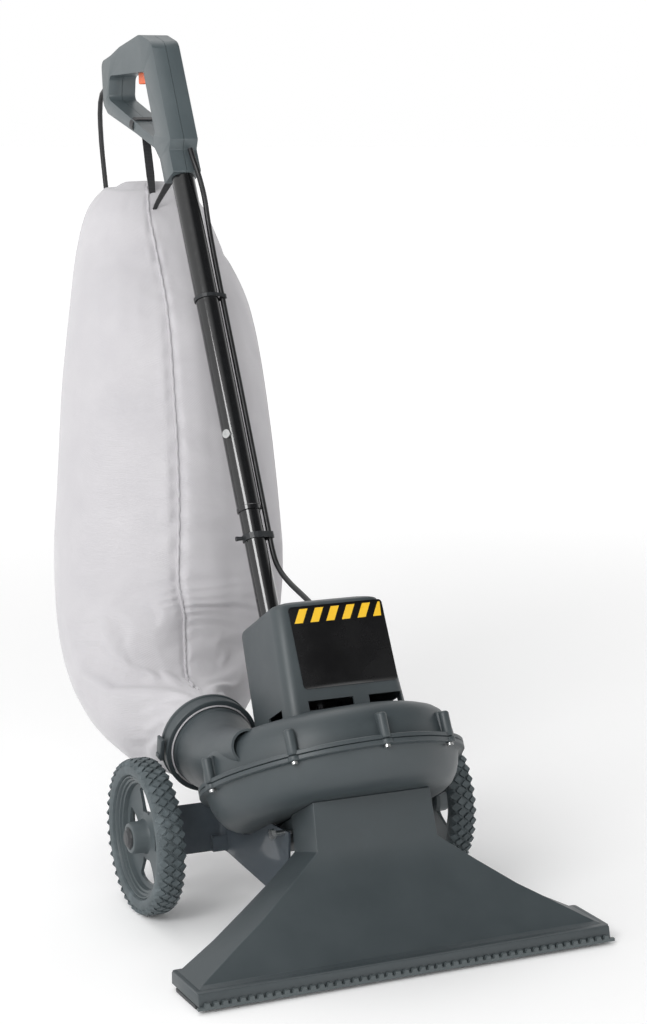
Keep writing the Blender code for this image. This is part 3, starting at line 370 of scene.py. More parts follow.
@dataclass(frozen=True)
class Webbing(Finish):
    """Woven polypropylene strap: tight ribs across a matt black band, wide enough to show."""

    name: str
    colour: str
    raised: str = "#2C2D30"
    rib_mm: float = 2.0

    def wire(self, tree: NodeTree, shader: Node, place: NodeSocket) -> None:
        """Ribs across the strap.

        Args:
            tree: the material's node tree.
            shader: its shader.
            place: the object's coordinates.
        """
        rib = add(tree, "TexWave", {"Vector": place, "Scale": WAVE_PERIOD / (self.rib_mm * MM),
                                    "Distortion": 0.4}, bands_direction="Z").outputs["Fac"]
        tone = blend(tree, rib, linear(self.colour), linear(self.raised))
        self.cover(tree, shader, tone, rib, 0.4, 0.0005)
        self.set(shader, Roughness=0.85, Sheen_Weight=0.2)


@dataclass(frozen=True)
class Rubber(Finish):
    """Moulded rubber or PVC: dark, with a dusty bloom that lifts its grey."""

    name: str
    colour: str
    bloom: str
    roughness: float = 0.62
    grain_mm: float = 1.1

    def wire(self, tree: NodeTree, shader: Node, place: NodeSocket) -> None:
        """Bloom in patches and a fine grain.

        Args:
            tree: the material's node tree.
            shader: its shader.
            place: the object's coordinates.
        """
        bloom = speckle(tree, place, 45.0, Detail=7.0, Roughness=0.65)
        grain = speckle(tree, place, 1 / (self.grain_mm * MM), Detail=2.0)
        amount = remap(tree, bloom, (0.0, 0.6), (0.4, 0.7), soft=True)
        tone = blend(tree, amount, linear(self.colour), linear(self.bloom))
        gloss = remap(tree, bloom, (self.roughness - 0.1, self.roughness + 0.12))
        self.cover(tree, shader, tone, grain, 0.18, 0.0004, gloss)
        self.set(shader, IOR=1.52)


CHARCOAL_ABS = MouldedPlastic("charcoal_abs", "#373E41", "#434B4E")
# Grip plastic: a coarser grain, and a grey lighter than the charcoal plastic that is painted light for
# the weak light on the grip.
GRIP_ABS_PAINTED_LIGHT = MouldedPlastic("grip_abs_painted_light", "#485154", "#545D60", roughness=0.38, grain_mm=1.4, relief=0.2)
# Hub plastic: a copy of the charcoal plastic painted lighter, as painted light that lifts the shade the
# hubs sit in.
HUB_ABS_PAINTED_LIGHT = MouldedPlastic("hub_abs_painted_light", "#434B4E", "#50595C")
BLACK_ABS = MouldedPlastic("black_abs", "#1A1C1E", "#2A2D30", roughness=0.4)
WEAR_STRIP_ABS = MouldedPlastic("wear_strip_abs", "#454C4E", "#5B6365", roughness=0.5)
LABEL_FILM = MouldedPlastic("label_film", "#060607", "#0C0C0E", roughness=0.24, relief=0.02)
STRIPE_FILM = MouldedPlastic("stripe_film", "#F0BC22", "#F6C93F", roughness=0.3, relief=0.02)
SWITCH_ABS = MouldedPlastic("switch_abs", "#E4571B", "#EE6C2E", roughness=0.34, relief=0.05)
TUBE_ENAMEL = GlossPaint("tube_enamel", "#08090A", roughness=0.10)
HAMMERED_ENAMEL = GlossPaint("hammered_enamel", "#3A4147", "#4A5259", roughness=0.38, peel_mm=3.2,
                             relief=0.14)
FILTER_FELT = Felt("filter_felt", "#D2D0D2", "#B6B4B8")
STRAP_WEBBING = Webbing("strap_webbing", "#0E0E10")
TYRE_RUBBER = Rubber("tyre_rubber", "#4A5356", "#687276")
CORD_PVC = Rubber("cord_pvc", "#101113", "#1D1F21", roughness=0.36)
ZINC_PLATE = Metal("zinc_plate", "#D6D7D6", "#A9ABAC")
BARE_STEEL = Metal("bare_steel", "#9A9C9E", "#77797B", roughness=0.36)
COMMUTATOR_COPPER = Metal("commutator_copper", "#C77B52", "#94553A", roughness=0.32)


class Slot(Enum):
    """The record's material slots, by name."""

    CHARCOAL = "charcoal"
    BLACK = "black_plastic"
    PAINT = "black_paint"
    LABEL = "label"
    ORANGE = "orange"
    FELT = "felt"
    WEBBING = "webbing"
    TYRE = "tyre"
    CORD = "cord"
    ZINC = "zinc"


# ------------------------------------------------------------------ modelling


def placed(name: str, data: object) -> Object:
    """Put new data in the scene.

    Args:
        name: the object's name.
        data: its mesh, curve, lamp or camera.

    Returns:
        The new object.
    """
    made = bpy.data.objects.new(name, data)
    bpy.context.scene.collection.objects.link(made)
    return made


def pick(*objects: Object) -> None:
    """Select only these objects, and make the first one active.

    Args:
        objects: what to select.
    """
    bpy.ops.object.select_all(action="DESELECT")
    for obj in objects:
        obj.select_set(True)
    bpy.context.view_layer.objects.active = objects[0]


def from_mesh_data(name: str, points: list, faces: list, frame: Matrix) -> Object:
    """Make a mesh whose place is held in its points.

    Args:
        name: the object's name.
        points: its points in the frame.
        faces: the indices of each face's points.
        frame: the frame the points are in.

    Returns:
        The new object.
    """
    mesh = bpy.data.meshes.new(name)
    mesh.from_pydata([frame @ Vector(p) for p in points], [], faces)
    return placed(name, mesh)


def loft(name: str, rings: list, frame: Matrix, cyclic: bool = False, capped: bool = False) -> Object:
    """Skin equal closed rings of points.

    Args:
        name: the object's name.
        rings: rows of points in the frame.
        frame: the frame the points are in.
        cyclic: the last ring joins the first, as in a wall with an inside and an outside.
        capped: both end rings are filled.

    Returns:
        The new object.
    """
    count = len(rings[0])
    points = [p for ring in rings for p in ring]
    faces = []
    for row in range(len(rings) if cyclic else len(rings) - 1):
        low, high = row * count, (row + 1) % len(rings) * count
        faces += [(low + i, low + (i + 1) % count, high + (i + 1) % count, high + i)
                  for i in range(count)]
    if capped:
        faces += [tuple(range(count)), tuple(range(len(points) - count, len(points)))]
    made = from_mesh_data(name, points, faces, frame)
    outward(made)
    return made


def outward(obj: Object, merge: float = 0.00002) -> None:
    """Merge doubles, then turn the faces outwards.

    Args:
        obj: the mesh.
        merge: how close two points are that become one.
    """
    pick(obj)
    bpy.ops.object.mode_set(mode="EDIT")
    bpy.ops.mesh.select_all(action="SELECT")
    bpy.ops.mesh.remove_doubles(threshold=merge)
    bpy.ops.mesh.normals_make_consistent(inside=False)
    bpy.ops.object.mode_set(mode="OBJECT")


def circle(radius: float, height: float, steps: int) -> list:
    """A level ring of points about the Z axis.

    Args:
        radius: the ring's radius.
        height: its height.
        steps: how many points it has.

    Returns:
        The points.
    """
    return [(radius * math.cos(a), radius * math.sin(a), height)
            for a in (2 * math.pi * k / steps for k in range(steps))]


def turned(name: str, profile: list, frame: Matrix, steps: int = 96) -> Object:
    """Turn a closed profile about the frame's Z.

    Args:
        name: the object's name.
        profile: (radius, height) points.
        frame: the frame it is turned in.
        steps: how many sides it gets.

    Returns:
        The new object.
    """
    return loft(name, [circle(radius, height, steps) for radius, height in profile], frame, cyclic=True)


def modify(obj: Object, kind: str, **settings: object) -> None:
    """Add a modifier and apply it.

    Args:
        obj: the object.
        kind: the modifier's type.
        settings: its properties.
    """
    step = obj.modifiers.new(kind.lower(), kind)
    for key, value in settings.items():
        setattr(step, key, value)
    pick(obj)
    bpy.ops.object.modifier_apply(modifier=step.name)


def round_edges(obj: Object, width: float, segments: int = 3, angle: float = 30.0) -> None:
    """Bevel the sharp edges.

    Args:
        obj: the mesh.
        width: the bevel's width.
        segments: its steps.
        angle: the least angle of a sharp edge, in degrees.
    """
    modify(obj, "BEVEL", width=width, segments=segments, limit_method="ANGLE",
           angle_limit=math.radians(angle))


def carve(obj: Object, cutter: Object) -> None:
    """Cut one object out of another, and remove the cutter.

    Args:
        obj: the object that is cut.
        cutter: what it is cut with.
    """
    modify(obj, "BOOLEAN", operation="DIFFERENCE", object=cutter, solver="EXACT")
    bpy.data.objects.remove(cutter)


def bake_place(obj: Object, frame: Matrix) -> Object:
    """Move an object's place and a frame's into its mesh.

    Args:
        obj: the object.
        frame: the frame it was made in.

    Returns:
        The same object, at the origin.
    """
    bpy.context.view_layer.update()
    obj.data.transform(frame @ obj.matrix_world)
    obj.matrix_world = Matrix.Identity(4)
    return obj


def bar(name: str, radius: float, start: tuple, end: tuple, frame: Matrix, sides: int) -> Object:
    """A cylinder between two points.

    Args:
        name: the object's name.
        radius: its radius.
        start: one end in the frame.
        end: the other end.
        frame: the frame the ends are in.
        sides: how many sides it has.

    Returns:
        The new object.
    """
    first, last = Vector(start), Vector(end)
    bpy.ops.object.select_all(action="DESELECT")
    bpy.ops.mesh.primitive_cone_add(vertices=sides, radius1=radius, radius2=radius,
                                    depth=(last - first).length, location=(first + last) / 2,
                                    rotation=(last - first).to_track_quat("Z", "Y").to_euler())
    made = bpy.context.object
    made.name = name
    return bake_place(made, frame)


def block(name: str, size: tuple, centre: tuple, frame: Matrix, turn: float = 0.0) -> Object:
    """A box about a point.

    Args:
        name: the object's name.
        size: its size along X, Y and Z.
        centre: its middle in the frame.
        frame: the frame it is in.
        turn: its turn about the frame's X, in degrees.

    Returns:
        The new object.
    """
    bpy.ops.object.select_all(action="DESELECT")
    bpy.ops.mesh.primitive_cube_add(size=1.0, location=centre,
                                    rotation=(math.radians(turn), 0.0, 0.0))
    made = bpy.context.object
    made.name = name
    made.scale = size
    return bake_place(made, frame)


def plate(name: str, outlines: list, depth: float, frame: Matrix) -> Object:
    """Give flat outlines a depth about their plane.

    Args:
        name: the object's name.
        outlines: the border's (x, y) points, and each hole's.
        depth: the plate's thickness.
        frame: the frame whose XY is the plane.

    Returns:
        The new object.
    """
    curve = bpy.data.curves.new(name, "CURVE")
    curve.dimensions = "2D"
    curve.fill_mode = "BOTH"
    curve.extrude = depth / 2
    for outline in outlines:
        spline = curve.splines.new("POLY")
        spline.points.add(len(outline) - 1)
        spline.use_cyclic_u = True
        for knot, (x, y) in zip(spline.points, outline):
            knot.co = (x, y, 0.0, 1.0)
    made = placed(name, curve)
    pick(made)
    bpy.ops.object.convert(target="MESH")
    bake_place(made, frame)
    outward(made)
    return made


def joined(name: str, objects: list) -> Object:
    """Make several meshes one object.

    Args:
        name: the object's name.
        objects: the meshes.

    Returns:
        The one object.
    """
    pick(*objects)
    bpy.ops.object.join()
    made = bpy.context.object
    made.name = name
    return made


def rectangle(low: tuple, high: tuple, radius: float) -> list:
    """A rectangle's outline.

    Args:
        low: its lowest (x, y) corner.
        high: its highest corner.
        radius: the radius its corners are rounded to.

    Returns:
        The outline's points.
    """
    (left, bottom), (right, top) = low, high
    return rounded([((left, bottom), radius), ((right, bottom), radius),
                    ((right, top), radius), ((left, top), radius)])


def rounded(outline: list, segments: int = 8) -> list:
    """Round the corners of a closed outline.

    Args:
        outline: each corner as ((x, y), radius).
        segments: the steps of each rounding.

    Returns:
        The rounded outline's points.
    """
    points = []
    count = len(outline)
    for i, (corner, radius) in enumerate(outline):
        here = Vector(corner)
        if radius == 0.0:
            points.append(here)
            continue
        back = (Vector(outline[i - 1][0]) - here).normalized()
        ahead = (Vector(outline[(i + 1) % count][0]) - here).normalized()
        reach = radius / math.tan(back.angle(ahead) / 2)
        centre = here + (back + ahead).normalized() * radius / math.sin(back.angle(ahead) / 2)
        first, last = here + back * reach - centre, here + ahead * reach - centre
        points += [centre + radius * first.normalized().slerp(last.normalized(), k / segments)
                   for k in range(segments + 1)]
    return [tuple(point) for point in points]


def smooth_line(points: list, spacing: float) -> list:
    """A Catmull-Rom line, read off at an even spacing.

    Args:
        points: given points of any dimension.
        spacing: about how far apart the line's points are.

    Returns:
        The line's points as vectors.
    """
    knots = [Vector(point) for point in points]
    knots = [2 * knots[0] - knots[1], *knots, 2 * knots[-1] - knots[-2]]
    line = []
    for a, b, c, d in zip(knots, knots[1:], knots[2:], knots[3:]):
        steps = max(1, round((c - b).length / spacing))
        for k in range(steps):
            t = k / steps
            line.append(0.5 * (2 * b + (c - a) * t + (2 * a - 5 * b + 4 * c - d) * t ** 2
                               + (3 * b - a - 3 * c + d) * t ** 3))
    line.append(knots[-2])
    return line


def dress(obj: Object, finish: Finish, body: str = MACHINE, nodes: tuple = (),
          smooth: float = 35.0) -> Object:
    """Args:
        obj: the piece.
        finish: its material.
        body: the body it rides.
        nodes: the CAD nodes it stands for.
        smooth: the angle in degrees below which its edges are shaded smooth.

    Returns:
        The same piece.
    """
    obj.data.materials.clear()
    obj.data.materials.append(finish.material())
    if obj.type == "MESH":
        pick(obj)
        bpy.ops.object.shade_smooth_by_angle(angle=math.radians(smooth))
    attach(obj, body)
    if nodes:
        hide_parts(*nodes)
    LOG.info("%s is dressed", obj.name)
    return obj


# ------------------------------------------------------------------ studio


@dataclass
class Studio:
    """The pale floor, the soft lights and the camera."""

    camera_place: tuple = (-1.2295, -2.7445, 1.0252)
    camera_turn: tuple = (80.154, 0.0, -24.92)
    lens_mm: float = 83.95
    backdrop: str = "#FFFFFF"
    dark_side: tuple = (0.72, -0.42, 0.55)
    aim: tuple = (0.0, 0.0, 0.45)
    lamps: tuple = (("key_softbox", (-2.9, -2.3, 2.6), 1.5, 66.0),
                    ("fill_softbox", (1.4, -3.4, 1.4), 1.4, 9.0),
                    ("top_softbox", (0.2, 0.9, 3.2), 2.0, 16.0))

    def build(self) -> None:
        """Make the camera, the floor, the sky and the lights."""
        data = bpy.data.cameras.new("camera")
        data.lens = self.lens_mm
        data.clip_end = 50.0
        camera = placed("camera", data)
        camera.location = BODY @ Vector(self.camera_place)
        camera.rotation_euler = [math.radians(turn) for turn in self.camera_turn]
        bpy.context.scene.camera = camera
        self.floor()
        self.sky()
        for lamp in self.lamps:
            self.lamp(*lamp)
        bpy.context.scene.view_settings.view_transform = "Standard"

    def floor(self) -> None:
        """A large pale sheet that fades into the sky."""
        bpy.ops.object.select_all(action="DESELECT")
        bpy.ops.mesh.primitive_plane_add(size=240.0)
        sheet = bpy.context.object
        sheet.name = "floor"
        paper = bpy.data.materials.new("backdrop_paper")
        paper.use_nodes = True
        shader = paper.node_tree.nodes["Principled BSDF"]
        Finish.set(shader, Base_Color=linear(self.backdrop), Roughness=0.9, Specular_IOR_Level=0.1,
                   Emission_Color=linear(self.backdrop))
        tree = paper.node_tree
        away = add(tree, "VectorMath", {0: add(tree, "TexCoord").outputs["Object"]}, operation="LENGTH")
        glow = remap(tree, away.outputs["Value"], (0.04, 0.42), (0.8, 4.5), soft=True)
        tree.links.new(glow, shader.inputs["Emission Strength"])
        sheet.data.materials.append(paper)

    def sky(self) -> None:
        """White light from all round but one dark side, which gives the gloss something to draw with."""
        world = bpy.data.worlds.new("white_studio")
        world.use_nodes = True
        tree = world.node_tree
        way = add(tree, "TexCoord").outputs["Generated"]
        facing = add(tree, "VectorMath", {0: way, 1: self.dark_side}, operation="DOT_PRODUCT")
        side = remap(tree, facing.outputs["Value"], (0.0, 0.9), (0.25, 0.80), soft=True)
        height = add(tree, "SeparateXYZ", {0: way})
        raised = remap(tree, height.outputs["Z"], (0.0, 1.0), (0.20, 0.50), soft=True)
        dark = add(tree, "Math", {0: side, 1: raised}, operation="MULTIPLY")
        level = add(tree, "Math", {0: 1.0, 1: dark.outputs["Value"]}, operation="SUBTRACT")
        tree.nodes["Background"].inputs["Color"].default_value = linear(self.backdrop)
        tree.links.new(level.outputs["Value"], tree.nodes["Background"].inputs["Strength"])
        bpy.context.scene.world = world

    def lamp(self, name: str, place: tuple, size: float, power: float) -> None:
        """A square soft light aimed at the machine's middle.

        Args:
            name: the lamp's name.
            place: where it stands.
            size: its side in metres.
            power: its power in watts.
        """
        data = bpy.data.lights.new(name, "AREA")
        data.size = size
        data.energy = power
        made = placed(name, data)
        made.location = place
        made.rotation_euler = (Vector(self.aim) - Vector(place)).to_track_quat("-Z", "Y").to_euler()


# ------------------------------------------------------------------ cords


@dataclass
class Cords:
    """The mains lead with its coil and plug, and the wiring that runs down the tube."""

    lead_radius: float = 0.00375
    wiring_radius: float = 0.0037
    coil_centre: tuple = (0.150, 0.600)
    inner_turn: float = 0.027
    outer_turn: float = 0.051
    layer_pitch: float = 0.008
    layers: int = 4
    turn_points: int = 20
    landing_angle: float = 118.0
    leaving_angle: float = 96.0
    route: tuple = (
        (0.000, 0.6665, 1.0375), (0.000, 0.6765, 1.0368), (0.000, 0.6890, 1.0305),
        (0.000, 0.6970, 1.0180),
        (0.000, 0.6998, 1.0010), (0.001, 0.6985, 0.9600), (0.004, 0.6920, 0.9000),
        (0.012, 0.6800, 0.7800),
        (0.026, 0.6680, 0.6200), (0.042, 0.6620, 0.4400), (0.058, 0.6600, 0.2600),
        (0.069, 0.6620, 0.1300),
        (0.0740, 0.6650, 0.0760), (0.0830, 0.6700, 0.0370), (0.0970, 0.6745, 0.0140),
        (0.1150, 0.6750, 0.0052),
        (0.1340, 0.6700, 0.0046),
    )
    tail: tuple = ((0.1900, 0.6690, 0.0250), (0.2130, 0.6690, 0.0180), (0.2290, 0.6600, 0.0150),
                   (0.2350, 0.6435, 0.0140))
    wiring_route: tuple = (
        (0.0080, -0.0256, 0.8435), (0.0095, -0.0264, 0.8250), (0.0130, -0.0252, 0.8040),
        (0.0185, -0.0170, 0.7750),
        (0.0208, -0.0080, 0.7400), (0.0208, -0.0055, 0.7000), (0.0208, -0.0050, 0.6300),
        (0.0208, -0.0050, 0.5000),
        (0.0202, -0.0050, 0.3600), (0.0200, -0.0050, 0.3100), (0.0200, -0.0050, 0.2620),
        (0.0208, -0.0120, 0.2370),
        (0.0240, -0.0290, 0.2120),
    )
    gland: tuple = (0.030, 0.030, 0.2165)
    relief_length: float = 0.046

    def build(self) -> None:
        """Make every cord and what is on it."""
        plug = self.plug()
        line = self.lead_line()
        lead = self.drawn("mains_lead", line, self.lead_radius)
        dress(lead, CORD_PVC, nodes=("power_cord", "power_cord_coil"))
        tie = self.coil_tie()
        into_motor = HANDLE.inverted() @ MOTOR
        x, y, z = self.gland
        ends = [into_motor @ Vector((x, y, z + rise)) for rise in (0.012, 0.0003)]
        wiring = [HANDLE @ p for p in smooth_line([*self.wiring_route, *ends], 0.006)]
        cord = self.drawn("wiring_cord", wiring, self.wiring_radius)
        dress(cord, CORD_PVC, nodes=("harness_cord",))
        self.strain_relief(line)

    def lead_line(self) -> list:
        """The lead's centreline from the strain relief to the plug's tail, in the row frame.

        Returns:
            The line's points, an even step apart.
        """
        middle = Vector((*self.coil_centre, 0.0))
        points = smooth_line(self.route, 0.018)
        x, y, height = self.route[-1]
        angle = math.radians(self.landing_angle)
        radius = math.hypot(x - self.coil_centre[0], y - self.coil_centre[1])
        step = 2 * math.pi / self.turn_points
        entry = self.turn_points // 2
        wound = []
        for k in range(1, entry + 1):
            share = k / entry
            ease = share * share * (3 - 2 * share)
            wound.append((angle - k * step, radius + (self.outer_turn - radius) * ease, height))
        angle -= entry * step
        turns = (self.outer_turn - self.inner_turn) / self.layer_pitch
        climb = self.turn_points // 3
        for layer in range(self.layers):
            inward = layer % 2 == 0
            ends = (self.outer_turn, self.inner_turn)
            first, last = ends if inward else reversed(ends)
            count = round(turns * self.turn_points)
            for k in range(1, count + 1):
                wound.append((angle - k * step, first + (last - first) * k / count, height))
            angle -= count * step
            if layer < self.layers - 1:
                for k in range(1, climb + 1):
                    share = k / climb
                    wound.append((angle - k * step, last, height + self.layer_pitch * share))
                angle -= climb * step
                height += self.layer_pitch
        extra = round((angle - math.radians(self.leaving_angle)) % (2 * math.pi) / step)
        wound += [(angle - k * step, self.outer_turn, height) for k in range(1, extra + 1)]
        points += [middle + Vector((r * math.cos(a), r * math.sin(a), z)) for a, r, z in wound]
        points += smooth_line([points[-2], points[-1], *self.tail], 0.008)[2:]
        return [BODY @ p for p in points]

    @staticmethod
    def drawn(name: str, line: list, radius: float) -> Object:
        """A round cord as a curve of one spline along a line in the row frame.

        Args:
            name: the cord's name.
            line: its centreline.
            radius: its radius.

        Returns:
            The new curve.
        """
        curve = bpy.data.curves.new(name, "CURVE")
        curve.dimensions = "3D"
        curve.bevel_depth = radius
        curve.bevel_resolution = 4
        curve.use_fill_caps = True
        spline = curve.splines.new("POLY")
        spline.points.add(len(line) - 1)
        for knot, point in zip(spline.points, line):
            knot.co = (*point, 1.0)
        return placed(name, curve)

    def coil_tie(self) -> Object:
        """A hook-and-loop band round one side of the coil.

        Returns:
            The band.
        """
        low, high = self.inner_turn - 0.0046, self.outer_turn + 0.0050
        top = self.layers * self.layer_pitch + 0.0016
        outside = rectangle((low, 0.0006), (high, top), 0.003)
        inside = rectangle((low + 0.0008, 0.0012), (high - 0.0008, top - 0.0008), 0.002)
        turn = Matrix.Rotation(math.radians(-40), 4, "Z")
        upright = Matrix.Translation((*self.coil_centre, 0.0)) @ turn
        band = plate("coil_tie", [outside, inside], 0.016,
                     BODY @ upright @ Matrix.Rotation(math.pi / 2, 4, "X"))
        return dress(band, STRAP_WEBBING)

    def plug(self) -> Object:
        """A moulded plug with a waisted body, a ribbed tail and two flat blades.

        Returns:
            The plug, with its blades joined to it.
        """
        profile = [(0.0, 0.0), (0.0118, 0.0), (0.0130, 0.0012), (0.0130, 0.0100), (0.0106, 0.0150),
                   (0.0104, 0.0230), (0.0092, 0.0300), (0.0070, 0.0330)]
        for k in range(6):
            at, thick = 0.0345 + k * 0.0028, 0.0069 - k * 0.0002
            profile += [(thick, at), (thick, at + 0.0013),
                        (thick - 0.0012, at + 0.0015), (thick - 0.0012, at + 0.0026)]
        profile += [(0.0046, 0.0520), (0.0, 0.0520)]
        x, y = self.coil_centre
        lying = Matrix.Rotation(-math.pi / 2, 4, "X")
        place = BODY @ Matrix.Translation((x + 0.085, y - 0.010, 0.0135)) @ lying
        rings = [circle(max(radius, 0.00002), height, 32) for radius, height in profile]
        body = loft("power_plug_body", rings, place, capped=True)
        blades = [block(f"blade_{side}", (0.0015, 0.0062, 0.0172), (side * 0.0064, 0.0, -0.0078), place)
                  for side in (-1, 1)]
        for blade in blades:
            round_edges(blade, 0.0004, 2)
            dress(blade, ZINC_PLATE)
        dress(body, CORD_PVC, nodes=("power_plug",))
        return joined("power_plug_body", [body, *blades])

    def strain_relief(self, line: list) -> None:
        """A tapered, ribbed sleeve where the lead leaves the grip.

        Args:
            line: the lead's centreline, which the sleeve ends at.
        """
        end = line[0]
        start = end - Vector((0.0, self.relief_length, 0.0))
        frame = Matrix.Translation(start) @ (end - start).to_track_quat("Z", "Y").to_matrix().to_4x4()
        length = (end - start).length
        profile = [(0.0052, 0.0), (0.0052, 0.014)]
        for k in range(7):
            at, thick = 0.0155 + k * 0.0040, 0.0058 - k * 0.00015
            profile += [(thick, at), (thick, at + 0.0022),
                        (thick - 0.0010, at + 0.0024), (thick - 0.0010, at + 0.0037)]
        profile += [(0.0046, length - 0.0010), (0.0041, length)]
        rings = [circle(radius, height, 28) for radius, height in profile]
        sleeve = loft("lead_strain_relief", rings, frame, capped=True)
        dress(sleeve, BLACK_ABS, nodes=("cord_strain_relief",))


# ------------------------------------------------------------------ floor nozzle


@dataclass
class FloorNozzle:
    """The wide hood, its rim, its toothed strip and the duct under the fan."""

    half_width: float = 0.2725
    front: float = -0.350
    rear: float = -0.264
    rim_top: float = 0.021
    ledge: float = 0.011
    duct_top: float = -0.0513
    wall: float = 0.003
    tooth_pitch: float = 0.011

    def build(self) -> None:
        """Make the hood, the duct, the rim bead and the strip."""
        hood = loft("hood", self.stations(), BODY)
        modify(hood, "SOLIDIFY", thickness=self.wall, offset=-1.0)
        outward(hood)
        carve(hood, block("trim", (0.30, 0.30, 0.10), (0.0, -0.03, self.duct_top + 0.05), MOTOR))
        round_edges(hood, 0.0022, 3, 18.0)
        dress(hood, CHARCOAL_ABS, nodes=("floor_nozzle",), smooth=40.0)
        duct = block("duct", (0.152, 0.140, 0.032), (0.0, -0.015, self.duct_top - 0.016), MOTOR)
        round_edges(duct, 0.005, 4)
        dress(duct, CHARCOAL_ABS)
        self.rim_bead()
        self.strip()

    def stations(self) -> list:
        """The hood's corner points from the mouth to the neck.

        Returns:
            Four corners for each section, from the mouth up.
        """
        front, rear, top = self.front, self.rear, self.rim_top
        rows = (
            (self.half_width, front, rear, 0.006, 0.006),
            (self.half_width, front + 0.004, rear, top, top),
            (self.half_width - self.ledge, front + 0.020, rear - 0.004, top + 0.003, top + 0.003),
            (0.2150, -0.3095, -0.2500, 0.0500, 0.0450),
            (0.1720, -0.2925, -0.2310, 0.0740, 0.0670),
            (0.1240, -0.2725, -0.2090, 0.1060, 0.0920),
            (0.0810, -0.2545, -0.1880, 0.1365, 0.1175),
            (0.0780, -0.2290, -0.1625, 0.2215, 0.2025),
        )
        return [[(-w, f, fz), (w, f, fz), (w, r, rz), (-w, r, rz)] for w, f, r, fz, rz in rows]

    def rim_bead(self) -> None:
        """A thin raised ledge that runs round the foot of the hood."""
        outlines = []
        for inset, radius in ((0.0, 0.004), (0.0075, 0.003)):
            half, front = self.half_width - inset, self.front + 0.004 + inset
            outlines.append(rectangle((-half, front), (half, self.rear - inset), radius))
        bead = plate("rim_bead", outlines, 0.0024,
                     BODY @ Matrix.Translation((0.0, 0.0, self.rim_top + 0.0003)))
        round_edges(bead, 0.0008, 2)
        dress(bead, CHARCOAL_ABS)

    def strip(self) -> None:
        """The strip on the front of the rim: notches above and a paler wear edge below."""
        half = self.half_width + 0.0030
        teeth = int(2 * half / self.tooth_pitch) - 1
        start = -teeth * self.tooth_pitch / 2
        foot, step, top = 0.0, 0.0035, 0.0078
        outline = [(half, foot), (-half, foot), (-half, step)]
        for i in range(teeth):
            left = start + i * self.tooth_pitch
            outline += [(left + 0.0018, step), (left + 0.0030, top),
                        (left + 0.0080, top), (left + 0.0092, step)]
        outline.append((half, step))
        standing = Matrix.Rotation(math.pi / 2, 4, "X")
        upright = Matrix.Translation((0.0, self.front - 0.0028, 0.0042)) @ standing
        strip = plate("notched_strip", [outline], 0.0046, BODY @ upright)
        dress(strip, WEAR_STRIP_ABS, nodes=("nozzle_lip_strip",))


# ------------------------------------------------------------------ fan housing


